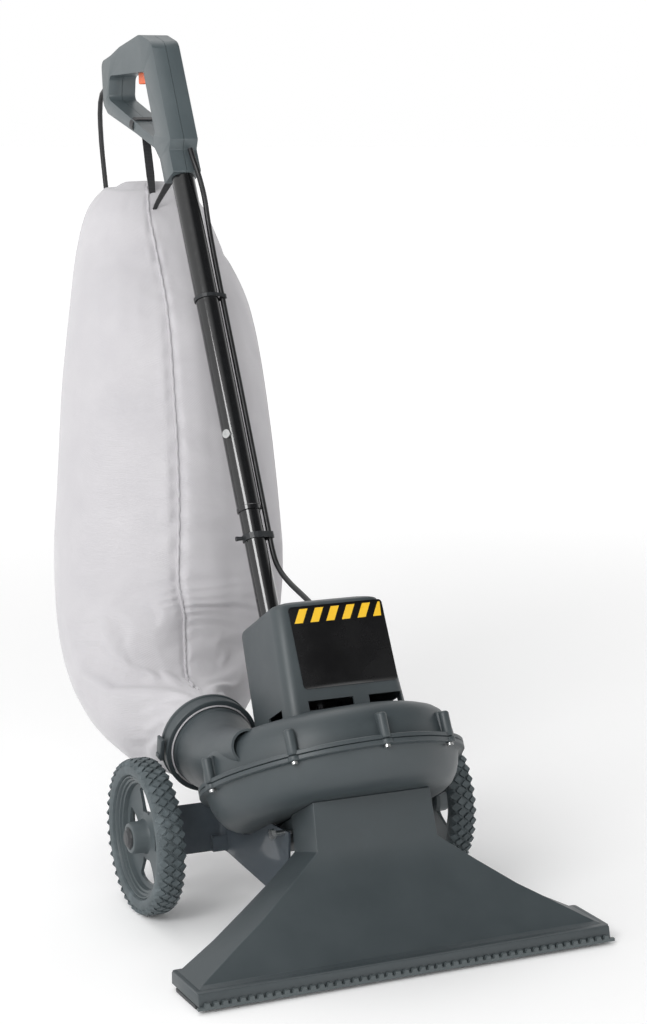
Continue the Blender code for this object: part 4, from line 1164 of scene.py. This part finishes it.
@dataclass
class FanHousing:
    """The spiral housing in two shells, with its screw ribs and its outlet."""

    flange: float = 0.008
    top: float = 0.055
    floor: float = -0.051
    wall: float = 0.003
    steps: int = 160
    boss_angles: tuple = (-172, -129, -90, -52, 12, 82)
    spiral: tuple = ((-240, 0.146), (-210, 0.160), (-172, 0.171), (-129, 0.166), (-90, 0.162),
                     (-52, 0.160), (0, 0.157), (60, 0.149), (120, 0.146))
    spout_radius: float = 0.054
    outlet_route: tuple = ((-0.137, -0.075, 0.030, 0.022), (-0.131, -0.020, 0.034, 0.032),
                           (-0.124, 0.035, 0.043, 0.040), (-0.113, 0.078, 0.056, 0.048))

    def build(self) -> None:
        """Make both shells, the ribs and the outlet."""
        top = self.top
        upper = [(-self.flange + 0.0008, 0.0003), (-self.flange, 0.0010), (-self.flange, 0.0050),
                 (-self.flange + 0.0010, 0.0060), (-0.0008, 0.0062), (0.0006, 0.0072), (0.0010, 0.0100),
                 (0.0018, 0.0200), (0.0035, 0.0300), (0.0065, 0.0385), (0.0110, 0.0450),
                 (0.0170, 0.0500),
                 (0.0240, 0.0530), (0.0330, 0.0547), (0.0420, top)]
        lower = [(-self.flange + 0.0008, -0.0003), (-self.flange, -0.0010), (-self.flange, -0.0050),
                 (-self.flange + 0.0010, -0.0060), (-0.0008, -0.0062), (0.0006, -0.0072),
                 (0.0014, -0.0110),
                 (0.0038, -0.0210), (0.0085, -0.0320), (0.0150, -0.0410), (0.0240, -0.0470),
                 (0.0340, -0.0500),
                 (0.0440, self.floor)]
        self.shell("upper_housing", upper, 0.040, -self.wall, ("upper_volute",))
        self.shell("lower_housing", lower, 0.045, self.wall, ("lower_volute",))
        self.ribs()
        self.outlet()

    def radius(self, angle: float) -> float:
        """The wall's radius at an angle in degrees.

        Args:
            angle: the angle from the housing's X, anticlockwise.

        Returns:
            The radius there.
        """
        angle = (angle + 240) % 360 - 240
        for (a, low), (b, high) in zip(self.spiral, self.spiral[1:]):
            if a <= angle <= b:
                return low + (high - low) * (1 - math.cos(math.pi * (angle - a) / (b - a))) / 2
        return self.spiral[-1][1]

    def ring(self, inset: float, height: float) -> list:
        """The spiral's outline at an inset and a height.

        Args:
            inset: how far inside the wall it runs.
            height: its height on the housing's axis.

        Returns:
            The ring's points.
        """
        angles = [360 * k / self.steps for k in range(self.steps)]
        return [((self.radius(a) - inset) * math.cos(math.radians(a)),
                 (self.radius(a) - inset) * math.sin(math.radians(a)), height) for a in angles]

    def shell(self, name: str, profile: list, hole: float, inward: float, nodes: tuple) -> None:
        """A closed wall: down the outside, across to the round hole and back along the inside.

        Args:
            name: the piece's name.
            profile: (inset, height) points from the flange to the hole.
            hole: the round hole's radius.
            inward: the wall with the sign of the way in.
            nodes: the CAD nodes it stands for.
        """
        rings = [self.ring(inset, height) for inset, height in profile]
        height = profile[-1][1]
        edge = rings[-1]
        mouth = circle(hole, height, self.steps)
        for share in (0.35, 0.7, 1.0):
            rings.append([Vector(p).lerp(Vector(q), share) for p, q in zip(edge, mouth)])
        rings.append([(x, y, z + inward) for x, y, z in rings[-1]])
        inner = [(inset + self.wall, height + inward * min(1.0, max(0.0, inset / 0.02)))
                 for inset, height in profile[5:]]
        for inset, level in reversed(inner):
            rings.append(self.ring(inset, level))
        rings.append(self.ring(self.wall + 0.0006, profile[0][1]))
        shell = loft(name, rings, MOTOR, cyclic=True)
        dress(shell, CHARCOAL_ABS, nodes=nodes, smooth=42.0)

    def ribs(self) -> None:
        """Domed ribs on the upper wall that take the screws, each with its ear on the lower flange."""
        made = []
        for angle in self.boss_angles:
            out = self.radius(angle) + 0.0050
            x, y = out * math.cos(math.radians(angle)), out * math.sin(math.radians(angle))
            rib = bar("rib", 0.0064, (x, y, 0.0004), (x, y, 0.0330), MOTOR, 28)
            round_edges(rib, 0.0034, 5, 60.0)
            back = out - 0.0070
            web = bar("web", 0.0048, (back * x / out, back * y / out, 0.004),
                      (back * x / out, back * y / out, 0.0345), MOTOR, 20)
            round_edges(web, 0.0024, 3, 60.0)
            ear = bar("ear", 0.0074, (x, y, -0.0062), (x, y, -0.0004), MOTOR, 28)
            round_edges(ear, 0.0007, 2, 60.0)
            made += [rib, web, ear]
        dress(joined("screw_ribs", made), CHARCOAL_ABS)

    def outlet(self) -> None:
        """The duct that rises out of the housing and ends in the bag's collar."""
        rise = math.radians(MOTOR_LEAN + SPOUT_RISE)
        along = Vector((0.0, math.cos(rise), math.sin(rise)))
        end = Vector(SPOUT_MOUTH)
        line = smooth_line([*self.outlet_route, (*end, self.spout_radius)], 0.007)
        line = [(Vector(p[:3]), p[3]) for p in line]
        line += [(end + along * reach, self.spout_radius) for reach in (0.012, 0.024, 0.036)]
        outer, inner = [], []
        for i, (centre, radius) in enumerate(line):
            ahead = line[min(i + 1, len(line) - 1)][0] - line[max(i - 1, 0)][0]
            way = along if i >= len(line) - 4 else ahead.normalized()
            across = (Vector((1, 0, 0)) - way * way.x).normalized()
            up = way.cross(across)
            spokes = [x * across + y * up for x, y, _ in circle(1.0, 0.0, 64)]
            outer.append([centre + radius * spoke for spoke in spokes])
            inner.append([centre + (radius - self.wall) * spoke for spoke in spokes])
        duct = loft("outlet_duct", [*outer, *reversed(inner)], MOTOR, cyclic=True)
        dress(duct, CHARCOAL_ABS)


# ------------------------------------------------------------------ motor cover


@dataclass
class MotorCover:
    """The hood over the motor with its black panel, stripes and vents."""

    half_base: float = 0.081
    half_top: float = 0.074
    front: float = -0.087
    rear: float = 0.070
    top: float = 0.198
    crown: float = 0.011
    base: float = 0.0553
    panel_low: float = 0.089
    panel_high: float = 0.194
    panel_left: float = -0.056
    panel_right: float = 0.072
    dome: tuple = ((0.0, 0.0012), (0.10, 0.0022), (0.30, 0.0060), (0.55, 0.0130), (0.78, 0.0220),
                   (0.93, 0.0340), (1.0, 0.0480))
    vents: tuple = (((0.061, 0.03, 0.012), (-0.0235, -0.087, 0.013)),
                    ((0.045, 0.03, 0.012), (0.0505, -0.087, 0.013)),
                    ((0.03, 0.045, 0.010), (-0.081, -0.040, 0.012)),
                    ((0.03, 0.045, 0.010), (0.081, -0.040, 0.012)))
    stripe_count: int = 6
    stripe_pitch: float = 0.0215
    stripe_width: float = 0.0112
    stripe_slant: float = 0.0100

    def build(self) -> None:
        """Make the cover, its crest, its panel and the stripes."""
        rings = [self.ring(self.base, 0.0, 0.0), self.ring(self.base + 0.004, 0.0, 0.0)]
        for share in (0.33, 0.66, 1.0):
            rings.append(self.ring(self.base + (self.top - 0.004 - self.base) * share, 0.0, share))
        for rise, inset in self.dome:
            rings.append(self.ring(self.top + self.crown * rise, inset, 1.0))
        cover = loft("motor_hood", rings, MOTOR)
        pick(cover)
        bpy.ops.object.mode_set(mode="EDIT")
        bpy.ops.mesh.select_all(action="DESELECT")
        bpy.ops.object.mode_set(mode="OBJECT")
        count = len(rings[0])
        for vertex in cover.data.vertices[-count:]:
            vertex.select = True
        bpy.ops.object.mode_set(mode="EDIT")
        bpy.ops.mesh.edge_face_add()
        bpy.ops.mesh.select_all(action="SELECT")
        bpy.ops.mesh.normals_make_consistent(inside=False)
        bpy.ops.object.mode_set(mode="OBJECT")
        modify(cover, "SOLIDIFY", thickness=0.003, offset=-1.0)
        for size, (x, y, rise) in self.vents:
            carve(cover, block("vent", size, (x, y, self.base + rise), MOTOR))
        dress(cover, CHARCOAL_ABS, nodes=("motor_cover",), smooth=38.0)
        self.crest()
        self.panel()

    def ring(self, height: float, inset: float, share: float) -> list:
        """A rounded section of the cover.

        Args:
            height: the section's height.
            inset: how far inside the wall it runs.
            share: how far up the tapered wall it is, from 0 to 1.

        Returns:
            The ring's points.
        """
        half = self.half_base + (self.half_top - self.half_base) * share - inset
        front, rear = self.front + inset, self.rear - inset
        soft, round_rear = 0.016, 0.050 - inset * 0.6
        outline = [((-half, front), soft), ((half, front), soft),
                   ((half, rear), round_rear), ((-half, rear), round_rear)]
        return [(x, y, height) for x, y in rounded(outline, 12)]

    def crest(self) -> None:
        """The darker textured pad let into the top."""
        rings = []
        for rise, inset in ((0.96, 0.0330), (1.06, 0.0345), (1.12, 0.0400), (1.14, 0.0500)):
            rings.append(self.ring(self.top + self.crown * rise, inset, 1.0))
        pad = loft("top_pad", rings, MOTOR, capped=True)
        dress(pad, BLACK_ABS)

    def panel(self) -> None:
        """The plain panel and its band of slanted stripes."""
        face = MOTOR @ Matrix.Translation((0.0, self.front - 0.0009, 0.0))
        upright = face @ Matrix.Rotation(math.pi / 2, 4, "X")
        low, high, left, right = self.panel_low, self.panel_high, self.panel_left, self.panel_right
        panel = plate("panel", [rectangle((left, low), (right, high), 0.005)], 0.0010, upright)
        round_edges(panel, 0.0003, 2)
        dress(panel, LABEL_FILM, nodes=("cover_label",))
        band_low, band_high, most = high - 0.0215, high - 0.0035, right - 0.003
        raised = upright @ Matrix.Translation((0.0, 0.0, 0.0006))
        stripes = []
        for k in range(self.stripe_count):
            x = left + 0.0045 + k * self.stripe_pitch
            outline = [(x, band_low), (min(x + self.stripe_width, most), band_low),
                       (min(x + self.stripe_width + self.stripe_slant, most), band_high),
                       (min(x + self.stripe_slant, most), band_high)]
            if outline[2][0] - outline[3][0] > 0.002:
                stripes.append(plate(f"stripe_{k}", [outline], 0.0004, raised))
        dress(joined("panel_stripes", stripes), STRIPE_FILM)


# ------------------------------------------------------------------ wheels


@dataclass
class Wheels:
    """Two treaded tyres on dished, windowed hubs."""

    radius: float = 0.100
    rim: float = 0.0785
    track_half: float = 0.22185
    tyre_width: float = 0.036
    tread_count: int = 44

    def build(self) -> None:
        """Make both wheels."""
        for side, name in ((-1, "left"), (1, "right")):
            away, down = Vector((side, 0, 0)), Vector((0, 0, -1))
            turn = Matrix((down, away.cross(down), away)).transposed().to_4x4()
            inner_face = side * (self.track_half - self.tyre_width)
            frame = BODY @ Matrix.Translation((inner_face, 0.0, self.radius)) @ turn
            self.tyre(f"tyre_tread_{name}", frame, f"wheel_{name}", f"tyre_{name}")
            self.hub(f"hub_disc_{name}", frame, f"wheel_{name}", f"hub_{name}")

    def tyre(self, name: str, frame: Matrix, body: str, node: str) -> None:
        """The carcass, with a mesh of raised diamonds over its crown and shoulders.

        Args:
            name: the piece's name.
            frame: the wheel's frame, its Z outwards.
            body: the body it rides.
            node: the CAD node it stands for.
        """
        base = self.radius - 0.0026
        profile = [(self.rim, 0.0060), (self.rim, 0.0300), (0.0800, 0.0335), (0.0835, 0.0352),
                   (0.0875, 0.0355),
                   (0.0925, 0.0340), (0.0955, 0.0318), (base, 0.0275), (base, 0.0180), (base, 0.0085),
                   (0.0955, 0.0042), (0.0925, 0.0020), (0.0875, 0.0005), (0.0835, 0.0008),
                   (0.0800, 0.0025)]
        carcass = turned(name, profile, frame, 132)
        points, faces = [], []
        rows = ((0.0047, 0.0), (0.0133, 0.5), (0.0227, 0.0), (0.0313, 0.5))
        pitch = 2 * math.pi / self.tread_count
        for level, shift in rows:
            for k in range(self.tread_count):
                self.lug(points, faces, level, (k + shift) * pitch, pitch, base)
        lugs = from_mesh_data("lugs", points, faces, frame)
        dress(joined(name, [carcass, lugs]), TYRE_RUBBER, body, (node,), smooth=30.0)

    @staticmethod
    def lug(points: list, faces: list, level: float, middle: float, pitch: float, base: float) -> None:
        """Add one raised diamond to the tread's points and faces.

        Args:
            points: the tread's points, added to.
            faces: the tread's faces, added to.
            level: the lug's middle across the tread.
            middle: its angle round the tyre.
            pitch: the angle from lug to lug.
            base: the radius it stands on.
        """
        half_turn, half_width = pitch * 0.43, 0.0066
        first = len(points)
        for lift, scale in ((-0.0012, 1.04), (0.0026, 0.84)):
            for along, across in ((-1.0, 0.0), (-0.18, 0.92), (0.18, 0.92), (1.0, 0.0), (0.18, -0.92),
                                  (-0.18, -0.92)):
                angle = middle + along * half_turn * scale
                height = level + across * half_width * scale
                edge = max(0.0, abs(height - 0.018) - 0.0095)
                radius = base + lift - 0.32 * edge - 14.0 * edge * edge
                points.append((radius * math.cos(angle), radius * math.sin(angle),
                               min(0.0358, max(0.0002, height))))
        faces.append(tuple(first + 6 + k for k in range(6)))
        faces.append(tuple(first + 5 - k for k in range(6)))
        faces += [(first + k, first + (k + 1) % 6, first + 6 + (k + 1) % 6, first + 6 + k)
                  for k in range(6)]

    def hub(self, name: str, frame: Matrix, body: str, node: str) -> None:
        """A dished disc with a stepped rim, four windows and a long boss.

        Args:
            name: the piece's name.
            frame: the wheel's frame, its Z outwards.
            body: the body it rides.
            node: the CAD node it stands for.
        """
        rim = self.rim - 0.0003
        profile = [(0.0120, 0.0400), (0.0100, 0.0400), (0.0062, 0.0396), (0.0062, -0.0046),
                   (0.0180, -0.0050),
                   (0.0210, 0.0115), (0.0700, 0.0120), (0.0720, 0.0065), (rim, 0.0065), (rim, 0.0300),
                   (rim - 0.0008, 0.0306), (rim - 0.0022, 0.0306), (rim - 0.0028, 0.0296),
                   (rim - 0.0034, 0.0268),
                   (rim - 0.0062, 0.0262), (rim - 0.0068, 0.0236), (rim - 0.0098, 0.0230),
                   (0.0672, 0.0172),
                   (0.0640, 0.0160), (0.0420, 0.0158), (0.0290, 0.0172), (0.0226, 0.0196),
                   (0.0206, 0.0230),
                   (0.0200, 0.0360), (0.0186, 0.0396), (0.0170, 0.0402), (0.0150, 0.0402),
                   (0.0142, 0.0396),
                   (0.0138, 0.0392)]
        disc = turned(name, profile, frame, 112)
        for k in range(4):
            middle = math.radians(90 * k)
            outline = []
            for radius, spread, last, corner in ((0.0615, 24, 8, 0.004), (0.0310, -19, 4, 0.003)):
                for j in range(last + 1):
                    angle = middle + math.radians(spread) * (1 - j / (last / 2))
                    outline.append(((radius * math.cos(angle), radius * math.sin(angle)),
                                    corner if j in (0, last) else 0.0))
            carve(disc, plate("window", [rounded(outline, 4)], 0.05,
                              frame @ Matrix.Translation((0, 0, 0.015))))
        # The hub takes the lighter copy of the charcoal plastic: painted light for the shade it sits in.
        dress(disc, HUB_ABS_PAINTED_LIGHT, body, (node,), smooth=32.0)


# ------------------------------------------------------------------ handle


@dataclass
class Handle:
    """The two steel tubes, their socket and the D-grip."""

    upper_radius: float = 0.016
    lower_radius: float = 0.0145
    overlap_low: float = 0.322
    grip_half: float = 0.0205
    outline: tuple = (
        ((-0.0190, 0.812), 0.002), ((-0.0190, 0.846), 0.003), ((-0.0300, 0.856), 0.004),
        ((-0.0300, 1.006), 0.022),
        ((0.0060, 1.038), 0.040), ((0.0870, 1.0620), 0.060), ((0.1250, 1.0690), 0.060),
        ((0.1640, 1.0800), 0.012),
        ((0.1860, 1.022), 0.012), ((0.1760, 1.002), 0.008), ((0.0870, 0.925), 0.0),
        ((0.0300, 0.873), 0.010),
        ((0.0190, 0.850), 0.006), ((0.0190, 0.812), 0.002),
    )
    opening: tuple = (((0.0170, 0.985), 0.006), ((0.1430, 1.046), 0.010), ((0.1625, 1.018), 0.010),
                      ((0.0185, 0.880), 0.006))
    trigger: tuple = (0.0565, 1.0002)
    trigger_turn: float = 26.3

    def build(self) -> None:
        """Make the tubes, the socket, the grip and the switch."""
        self.tube("lower_handle_tube", self.lower_radius, 0.0085, 0.455, "lower_tube", False)
        self.tube("upper_handle_tube", self.upper_radius, self.overlap_low, 0.900, "upper_tube", True)
        self.socket()
        self.grip()
        self.switch()

    def tube(self, name: str, radius: float, low: float, high: float, node: str, lipped: bool) -> None:
        """A drawn steel tube. The upper one has a rolled lip where the lower one enters it.

        Args:
            name: the piece's name.
            radius: the tube's radius.
            low: its lower end on the handle's axis.
            high: its upper end.
            node: the CAD node it stands for.
            lipped: it has the rolled lip.
        """
        lip = 0.0006 if lipped else 0.0
        profile = [(radius - 0.0012, low + 0.0004), (radius - 0.0004, low), (radius + lip, low + 0.0006),
                   (radius + lip, low + 0.0060), (radius, low + 0.0068), (radius, high - 0.0005),
                   (radius - 0.0005, high), (radius - 0.0012, high)]
        dress(turned(name, profile, HANDLE, 72), TUBE_ENAMEL, nodes=(node,))

    def socket(self) -> None:
        """The moulded cup that the lower tube stands in."""
        profile = [(0.0149, 0.0600), (0.0190, 0.0600), (0.0203, 0.0588), (0.0205, 0.0570),
                   (0.0205, 0.0080),
                   (0.0222, 0.0050), (0.0222, -0.0015), (0.0005, -0.0015), (0.0005, 0.0060),
                   (0.0149, 0.0060)]
        cup = turned("tube_socket", profile, HANDLE, 64)
        dress(cup, CHARCOAL_ABS, nodes=("handle_socket",))

    def grip(self) -> None:
        """Two moulded halves of the D-grip that meet at a fine seam."""
        sideways = Matrix(((0, 0, 1, 0), (1, 0, 0, 0), (0, 1, 0, 0), (0, 0, 0, 1)))
        whole = plate("grip_whole", [rounded(list(self.outline), 10), rounded(list(self.opening), 8)],
                      2 * self.grip_half, sideways)
        round_edges(whole, 0.0125, 8, 60.0)
        slot = block("slot", (0.0136, 0.0352, 0.040), (0.0, *self.trigger), Matrix.Identity(4),
                     self.trigger_turn)
        carve(whole, slot)
        for side, name in ((-1, "left"), (1, "right")):
            half = placed(f"grip_shell_{name}", whole.data.copy())
            pick(half)
            bpy.ops.object.mode_set(mode="EDIT")
            bpy.ops.mesh.select_all(action="SELECT")
            bpy.ops.mesh.bisect(plane_co=(side * 0.0003, 0.0, 0.0), plane_no=(-side, 0.0, 0.0),
                                use_fill=True, clear_outer=True)
            bpy.ops.object.mode_set(mode="OBJECT")
            half.data.transform(HANDLE)
            outward(half)
            # The grip halves take the lightened grey: painted light for the weak light on the grip.
            dress(half, GRIP_ABS_PAINTED_LIGHT, nodes=(f"grip_{name}",), smooth=40.0)
        bpy.data.objects.remove(whole)

    def switch(self) -> None:
        """The orange trigger, crowned and finger-worn."""
        key = block("switch_key", (0.0124, 0.0340, 0.0240), (0.0, *self.trigger), HANDLE,
                    self.trigger_turn)
        round_edges(key, 0.0026, 5)
        dress(key, SWITCH_ABS, "switch", ("switch_trigger",))


# ------------------------------------------------------------------ dust bag


@dataclass
class DustBag:
    """The felt bag: a collar on the spout that swells, turns up and hangs from a strap."""

    sides: int = 144
    spacing: float = 0.0062
    collar: float = 0.0564
    cloth: float = 0.0015
    slack: float = 0.03
    pressure: float = 3.0
    most_move: float = 0.016
    cloth_mass: float = 0.25
    stretch_stiffness: float = 18.0
    shear_stiffness: float = 8.0
    bend_stiffness: float = 1.5
    cloth_frames: int = 20
    held_below: float = 0.046
    held_above: float = 0.893
    rings: tuple = (
        (-0.103, 0.105, 0.212, 12, 0.066, 0.064), (-0.096, 0.155, 0.223, 22, 0.095, 0.080),
        (-0.080, 0.215, 0.256, 42, 0.126, 0.112), (-0.060, 0.275, 0.316, 66, 0.144, 0.146),
        (-0.044, 0.322, 0.395, 86, 0.148, 0.166), (-0.030, 0.360, 0.500, 90, 0.143, 0.172),
        (-0.020, 0.392, 0.620, 90, 0.135, 0.155), (-0.010, 0.428, 0.730, 90, 0.122, 0.130),
        (-0.004, 0.480, 0.800, 90, 0.102, 0.112), (-0.003, 0.499, 0.855, 90, 0.084, 0.082),
        (-0.001, 0.506, 0.885, 90, 0.062, 0.058), (0.000, 0.509, 0.906, 90, 0.032, 0.030),
    )
    strap_line: tuple = ((0.0, 0.5090, 0.9800), (-0.014, 0.4460, 0.8900), (-0.019, 0.4330, 0.8665),
                         (-0.014, 0.4210, 0.8830), (0.0, 0.3860, 0.9270))
    loop_at: tuple = (0.0, 0.5070, 0.9868)

    def build(self) -> None:
        """Make the bag, its collar clamp and its strap."""
        bag = self.body()
        dress(bag, FILTER_FELT, nodes=("dust_bag",), smooth=180.0)
        self.clamp()
        self.strap()

    def sections(self) -> list:
        """Centre, tilt and half sizes of each section from the collar to the top.

        Returns:
            (x, y, z, tilt in degrees, half width, half depth) rows.
        """
        spout = ((-0.105, 0.0122, 0.2026, 9, self.collar, self.collar),
                 (-0.105, 0.0418, 0.2072, 9, self.collar, self.collar))
        scaled = [(x, y, z, tilt / 500, w, d) for x, y, z, tilt, w, d in (*spout, *self.rings)]
        return [(p[0], p[1], p[2], p[3] * 500, p[4], p[5]) for p in smooth_line(scaled, self.spacing)]

    def body(self) -> Object:
        """The cloth shell, puckered along its seams, then settled as cloth.

        Returns:
            The bag.
        """
        rings, walk = [], 0.0
        last = None
        for x, y, z, tilt, wide, deep in self.sections():
            centre = Vector((x, y, z))
            walk += 0.0 if last is None else (centre - last).length
            last = centre
            lean = math.radians(tilt)
            inner = Vector((0.0, -math.sin(lean), math.cos(lean)))
            free = min(1.0, max(0.0, (walk - 0.028) / 0.05))
            along = min(1.0, max(0.0, (walk - 0.12) / 0.30))
            seam_at = math.pi / 2 + math.radians(18) * along * along * (3 - 2 * along)
            ring = []
            for k in range(self.sides):
                share = 2 * k / self.sides - 1
                angle = seam_at + math.pi * (0.38 * share + 0.62 * share ** 3)
                swell = 1.0 + free * self.fold(angle - seam_at, walk)
                ring.append(centre + Vector((wide * math.cos(angle) * swell, 0, 0))
                            + inner * deep * math.sin(angle) * swell)
            rings.append(ring)
        bag = loft("felt_bag", rings, BODY)
        self.close_top(bag)
        self.settle(bag)
        middle = self.sides // 2
        seam = [bag.data.vertices[row * self.sides + middle].co.copy() for row in range(len(rings))]
        modify(bag, "SOLIDIFY", thickness=self.cloth, offset=-1.0)
        self.welt(seam[10:-2])
        return bag

    def welt(self, line: list) -> None:
        """The sewn edge that stands out along the front seam.

        Args:
            line: points along the seam.
        """
        rings = []
        for i, here in enumerate(line):
            ahead = (line[min(i + 1, len(line) - 1)] - line[max(i - 1, 0)]).normalized()
            out = Vector((1, 0, 0)).cross(ahead).normalized()
            out = out if out.y < 0 or out.z < 0 else -out
            root, tip = here - out * 0.0012, here + out * 0.0034
            wave = Vector((0.0006 * math.sin(1.9 * i), 0, 0))
            half = Vector((0.0011, 0, 0))
            rings.append([root - half, root + half, tip + wave + half * 0.8, tip + wave - half * 0.8])
        welt = loft("bag_seam", rings, Matrix.Identity(4), capped=True)
        dress(welt, FILTER_FELT, smooth=60.0)

    def fold(self, away: float, walk: float) -> float:
        """How far a point stands out of the plain section, as a share of its radius.

        Args:
            away: the angle round the section from the front seam.
            walk: the distance along the bag from its mouth.

        Returns:
            The extra radius over the plain radius.
        """
        reach = 0.34 if away < 0 else 0.13
        uneven = noise.noise(Vector((walk * 11, 1.7, 0.8 * away)))
        strength = 0.55 + 0.9 * noise.noise(Vector((walk * 16, 3.1 if away < 0 else 9.4, 0.0)))
        pucker = strength * math.exp(-abs(away) / reach) * math.cos(
            2 * math.pi * (walk / 0.034 + 0.8 * uneven) + 2.2 * abs(away))
        seam = -0.050 * math.exp(-(away / 0.045) ** 2)
        seam += 0.030 * pucker * (1 - math.exp(-(away / 0.05) ** 2))
        waver = 2.0 * noise.noise(Vector((away, walk * 5, 4.0)))
        gather = 0.020 * math.cos(21 * away + waver) * math.exp(-max(0.0, walk - 0.04) / 0.05)
        east, north = math.cos(away), math.sin(away)
        drape = 0.020 * noise.noise(Vector((3.2 * east, 3.2 * north, 1.1 * walk + 7.0)))
        crease = 0.010 * noise.noise(Vector((7.0 * east, 7.0 * north, 5.0 * walk)))
        return seam + gather + drape + crease

    @staticmethod
    def close_top(bag: Object) -> None:
        """Fill the hole at the top with a fan round a middle point.

        Args:
            bag: the open bag.
        """
        shape = bmesh.new()
        shape.from_mesh(bag.data)
        shape.verts.ensure_lookup_table()
        edge = [e for e in shape.edges if e.is_boundary and e.verts[0].co.z > 0.8]
        ring = {v for e in edge for v in e.verts}
        middle = shape.verts.new(sum((v.co for v in ring), Vector()) / len(ring) + Vector((0, 0, 0.003)))
        for e in edge:
            shape.faces.new((e.verts[0], e.verts[1], middle))
        bmesh.ops.recalc_face_normals(shape, faces=shape.faces)
        shape.to_mesh(bag.data)
        shape.free()

    def settle(self, bag: Object) -> None:
        """Run a short cloth simulation with a little spare cloth, so that the felt buckles.

        Args:
            bag: the bag, which is changed.
        """
        start = [v.co.copy() for v in bag.data.vertices]
        pins = bag.vertex_groups.new(name="held")
        for vertex in bag.data.vertices:
            local = BODY.inverted() @ vertex.co
            if local.y < self.held_below or local.z > self.held_above:
                pins.add([vertex.index], 1.0, "REPLACE")
        cloth = bag.modifiers.new("cloth", "CLOTH")
        settings = cloth.settings
        settings.vertex_group_mass = "held"
        settings.quality = 6
        settings.mass = self.cloth_mass
        settings.tension_stiffness = self.stretch_stiffness
        settings.compression_stiffness = self.stretch_stiffness
        settings.shear_stiffness = self.shear_stiffness
        settings.bending_stiffness = self.bend_stiffness
        settings.use_pressure = True
        settings.uniform_pressure_force = self.pressure
        settings.shrink_min = -self.slack
        settings.effector_weights.gravity = 0.0
        cloth.collision_settings.use_collision = False
        for frame in range(1, self.cloth_frames + 1):
            bpy.context.scene.frame_set(frame)
        pick(bag)
        bpy.ops.object.modifier_apply(modifier="cloth")
        bag.vertex_groups.clear()
        bpy.context.scene.frame_set(1)
        for vertex, was in zip(bag.data.vertices, start):
            move = vertex.co - was
            if move.length > self.most_move:
                vertex.co = was + move.normalized() * self.most_move
        modify(bag, "SMOOTH", factor=0.4, iterations=2)

    def clamp(self) -> None:
        """The ribbed collar that holds the bag's mouth, and its latch."""
        inner, outer = 0.0572, 0.0630
        profile = [(inner, 0.0100), (outer - 0.0010, 0.0100), (outer, 0.0110), (outer, 0.0140),
                   (outer - 0.0016, 0.0150), (outer - 0.0016, 0.0290), (outer, 0.0300), (outer, 0.0330),
                   (outer - 0.0010, 0.0340), (inner, 0.0340)]
        band = turned("clamp_band", profile, SPOUT, 120)
        dress(band, CHARCOAL_ABS, nodes=("bag_clamp_ring",))
        x = -outer - 0.0038
        lever = block("lever", (0.0060, 0.0290, 0.0150), (x, 0.0, 0.022), SPOUT)
        round_edges(lever, 0.0016, 4)
        pin = bar("pin", 0.0022, (x, -0.0130, 0.0135), (x, -0.0130, 0.0305), SPOUT, 20)
        nub = block("nub", (0.0022, 0.0060, 0.0110), (x - 0.0034, 0.0090, 0.022), SPOUT)
        round_edges(nub, 0.0008, 3)
        latch = joined("latch_lever", [lever, pin, nub])
        dress(latch, CHARCOAL_ABS, "latch", ("clamp_latch",))

    def strap(self) -> None:
        """The webbing that hangs the bag's top from the grip."""
        line = smooth_line(self.strap_line, 0.004)
        points = []
        low = min(p.z for p in line)
        for centre in line:
            half = 0.0026 + 0.0034 * min(1.0, (centre.z - low) / 0.05)
            points += [centre + Vector((-half, 0, 0)), centre + Vector((half, 0, 0))]
        faces = [(2 * i, 2 * i + 1, 2 * i + 3, 2 * i + 2) for i in range(len(line) - 1)]
        strap = from_mesh_data("bag_strap", points, faces, BODY)
        modify(strap, "SOLIDIFY", thickness=0.0018, offset=0.0)
        outward(strap)
        dress(strap, STRAP_WEBBING, nodes=("hanger_strap",))
        along = BODY @ Matrix.Translation(self.loop_at) @ Matrix.Rotation(math.radians(-75.5), 4, "X")
        outlines = [rectangle((-x, -y), (x, y), radius)
                    for x, y, radius in ((0.0224, 0.0094, 0.0080), (0.0208, 0.0078, 0.0066))]
        dress(plate("strap_loop", outlines, 0.013, along), STRAP_WEBBING)


# ------------------------------------------------------------------ the rest of the frame


class FrameFinishes:
    """Finishes for the CAD nodes that stay as they are."""

    table: dict = {
        HAMMERED_ENAMEL: ("chassis_bracket",),
        ZINC_PLATE: ("axle", "hood_bolt_left", "hood_bolt_right", "bearing_lower",
                     "bearing_upper", "socket_bolt", "tube_bolt", "tube_nut", "grip_screw_1",
                     "grip_screw_2",
                     *(f"volute_screw_{i}" for i in range(1, 7))),
        BARE_STEEL: ("motor_plate", "stator_core", "armature_core", "end_bracket", "motor_shaft"),
        COMMUTATOR_COPPER: ("commutator",),
        BLACK_ABS: ("skid_left", "skid_right", "cooling_fan", "impeller", "hub_cap_left",
                    "hub_cap_right", "cord_tie", "cord_clip", "switch_body", "cord_gland",
                    "brush_left", "brush_right"),
    }

    def dress(self, nodes: dict) -> None:
        """Assign each node its finish.

        Args:
            nodes: the frame's nodes by name.
        """
        for finish, names in self.table.items():
            for name in names:
                node = nodes[name]
                node.data.materials.clear()
                node.data.materials.append(finish.material())


def main() -> None:
    """Build everything in order."""
    logging.basicConfig(level=logging.INFO, format="%(name)s: %(message)s")
    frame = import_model()
    Studio().build()
    Cords().build()
    FloorNozzle().build()
    FanHousing().build()
    MotorCover().build()
    Wheels().build()
    Handle().build()
    DustBag().build()
    FrameFinishes().dress(frame["nodes"])


if __name__ == "__main__":
    main()
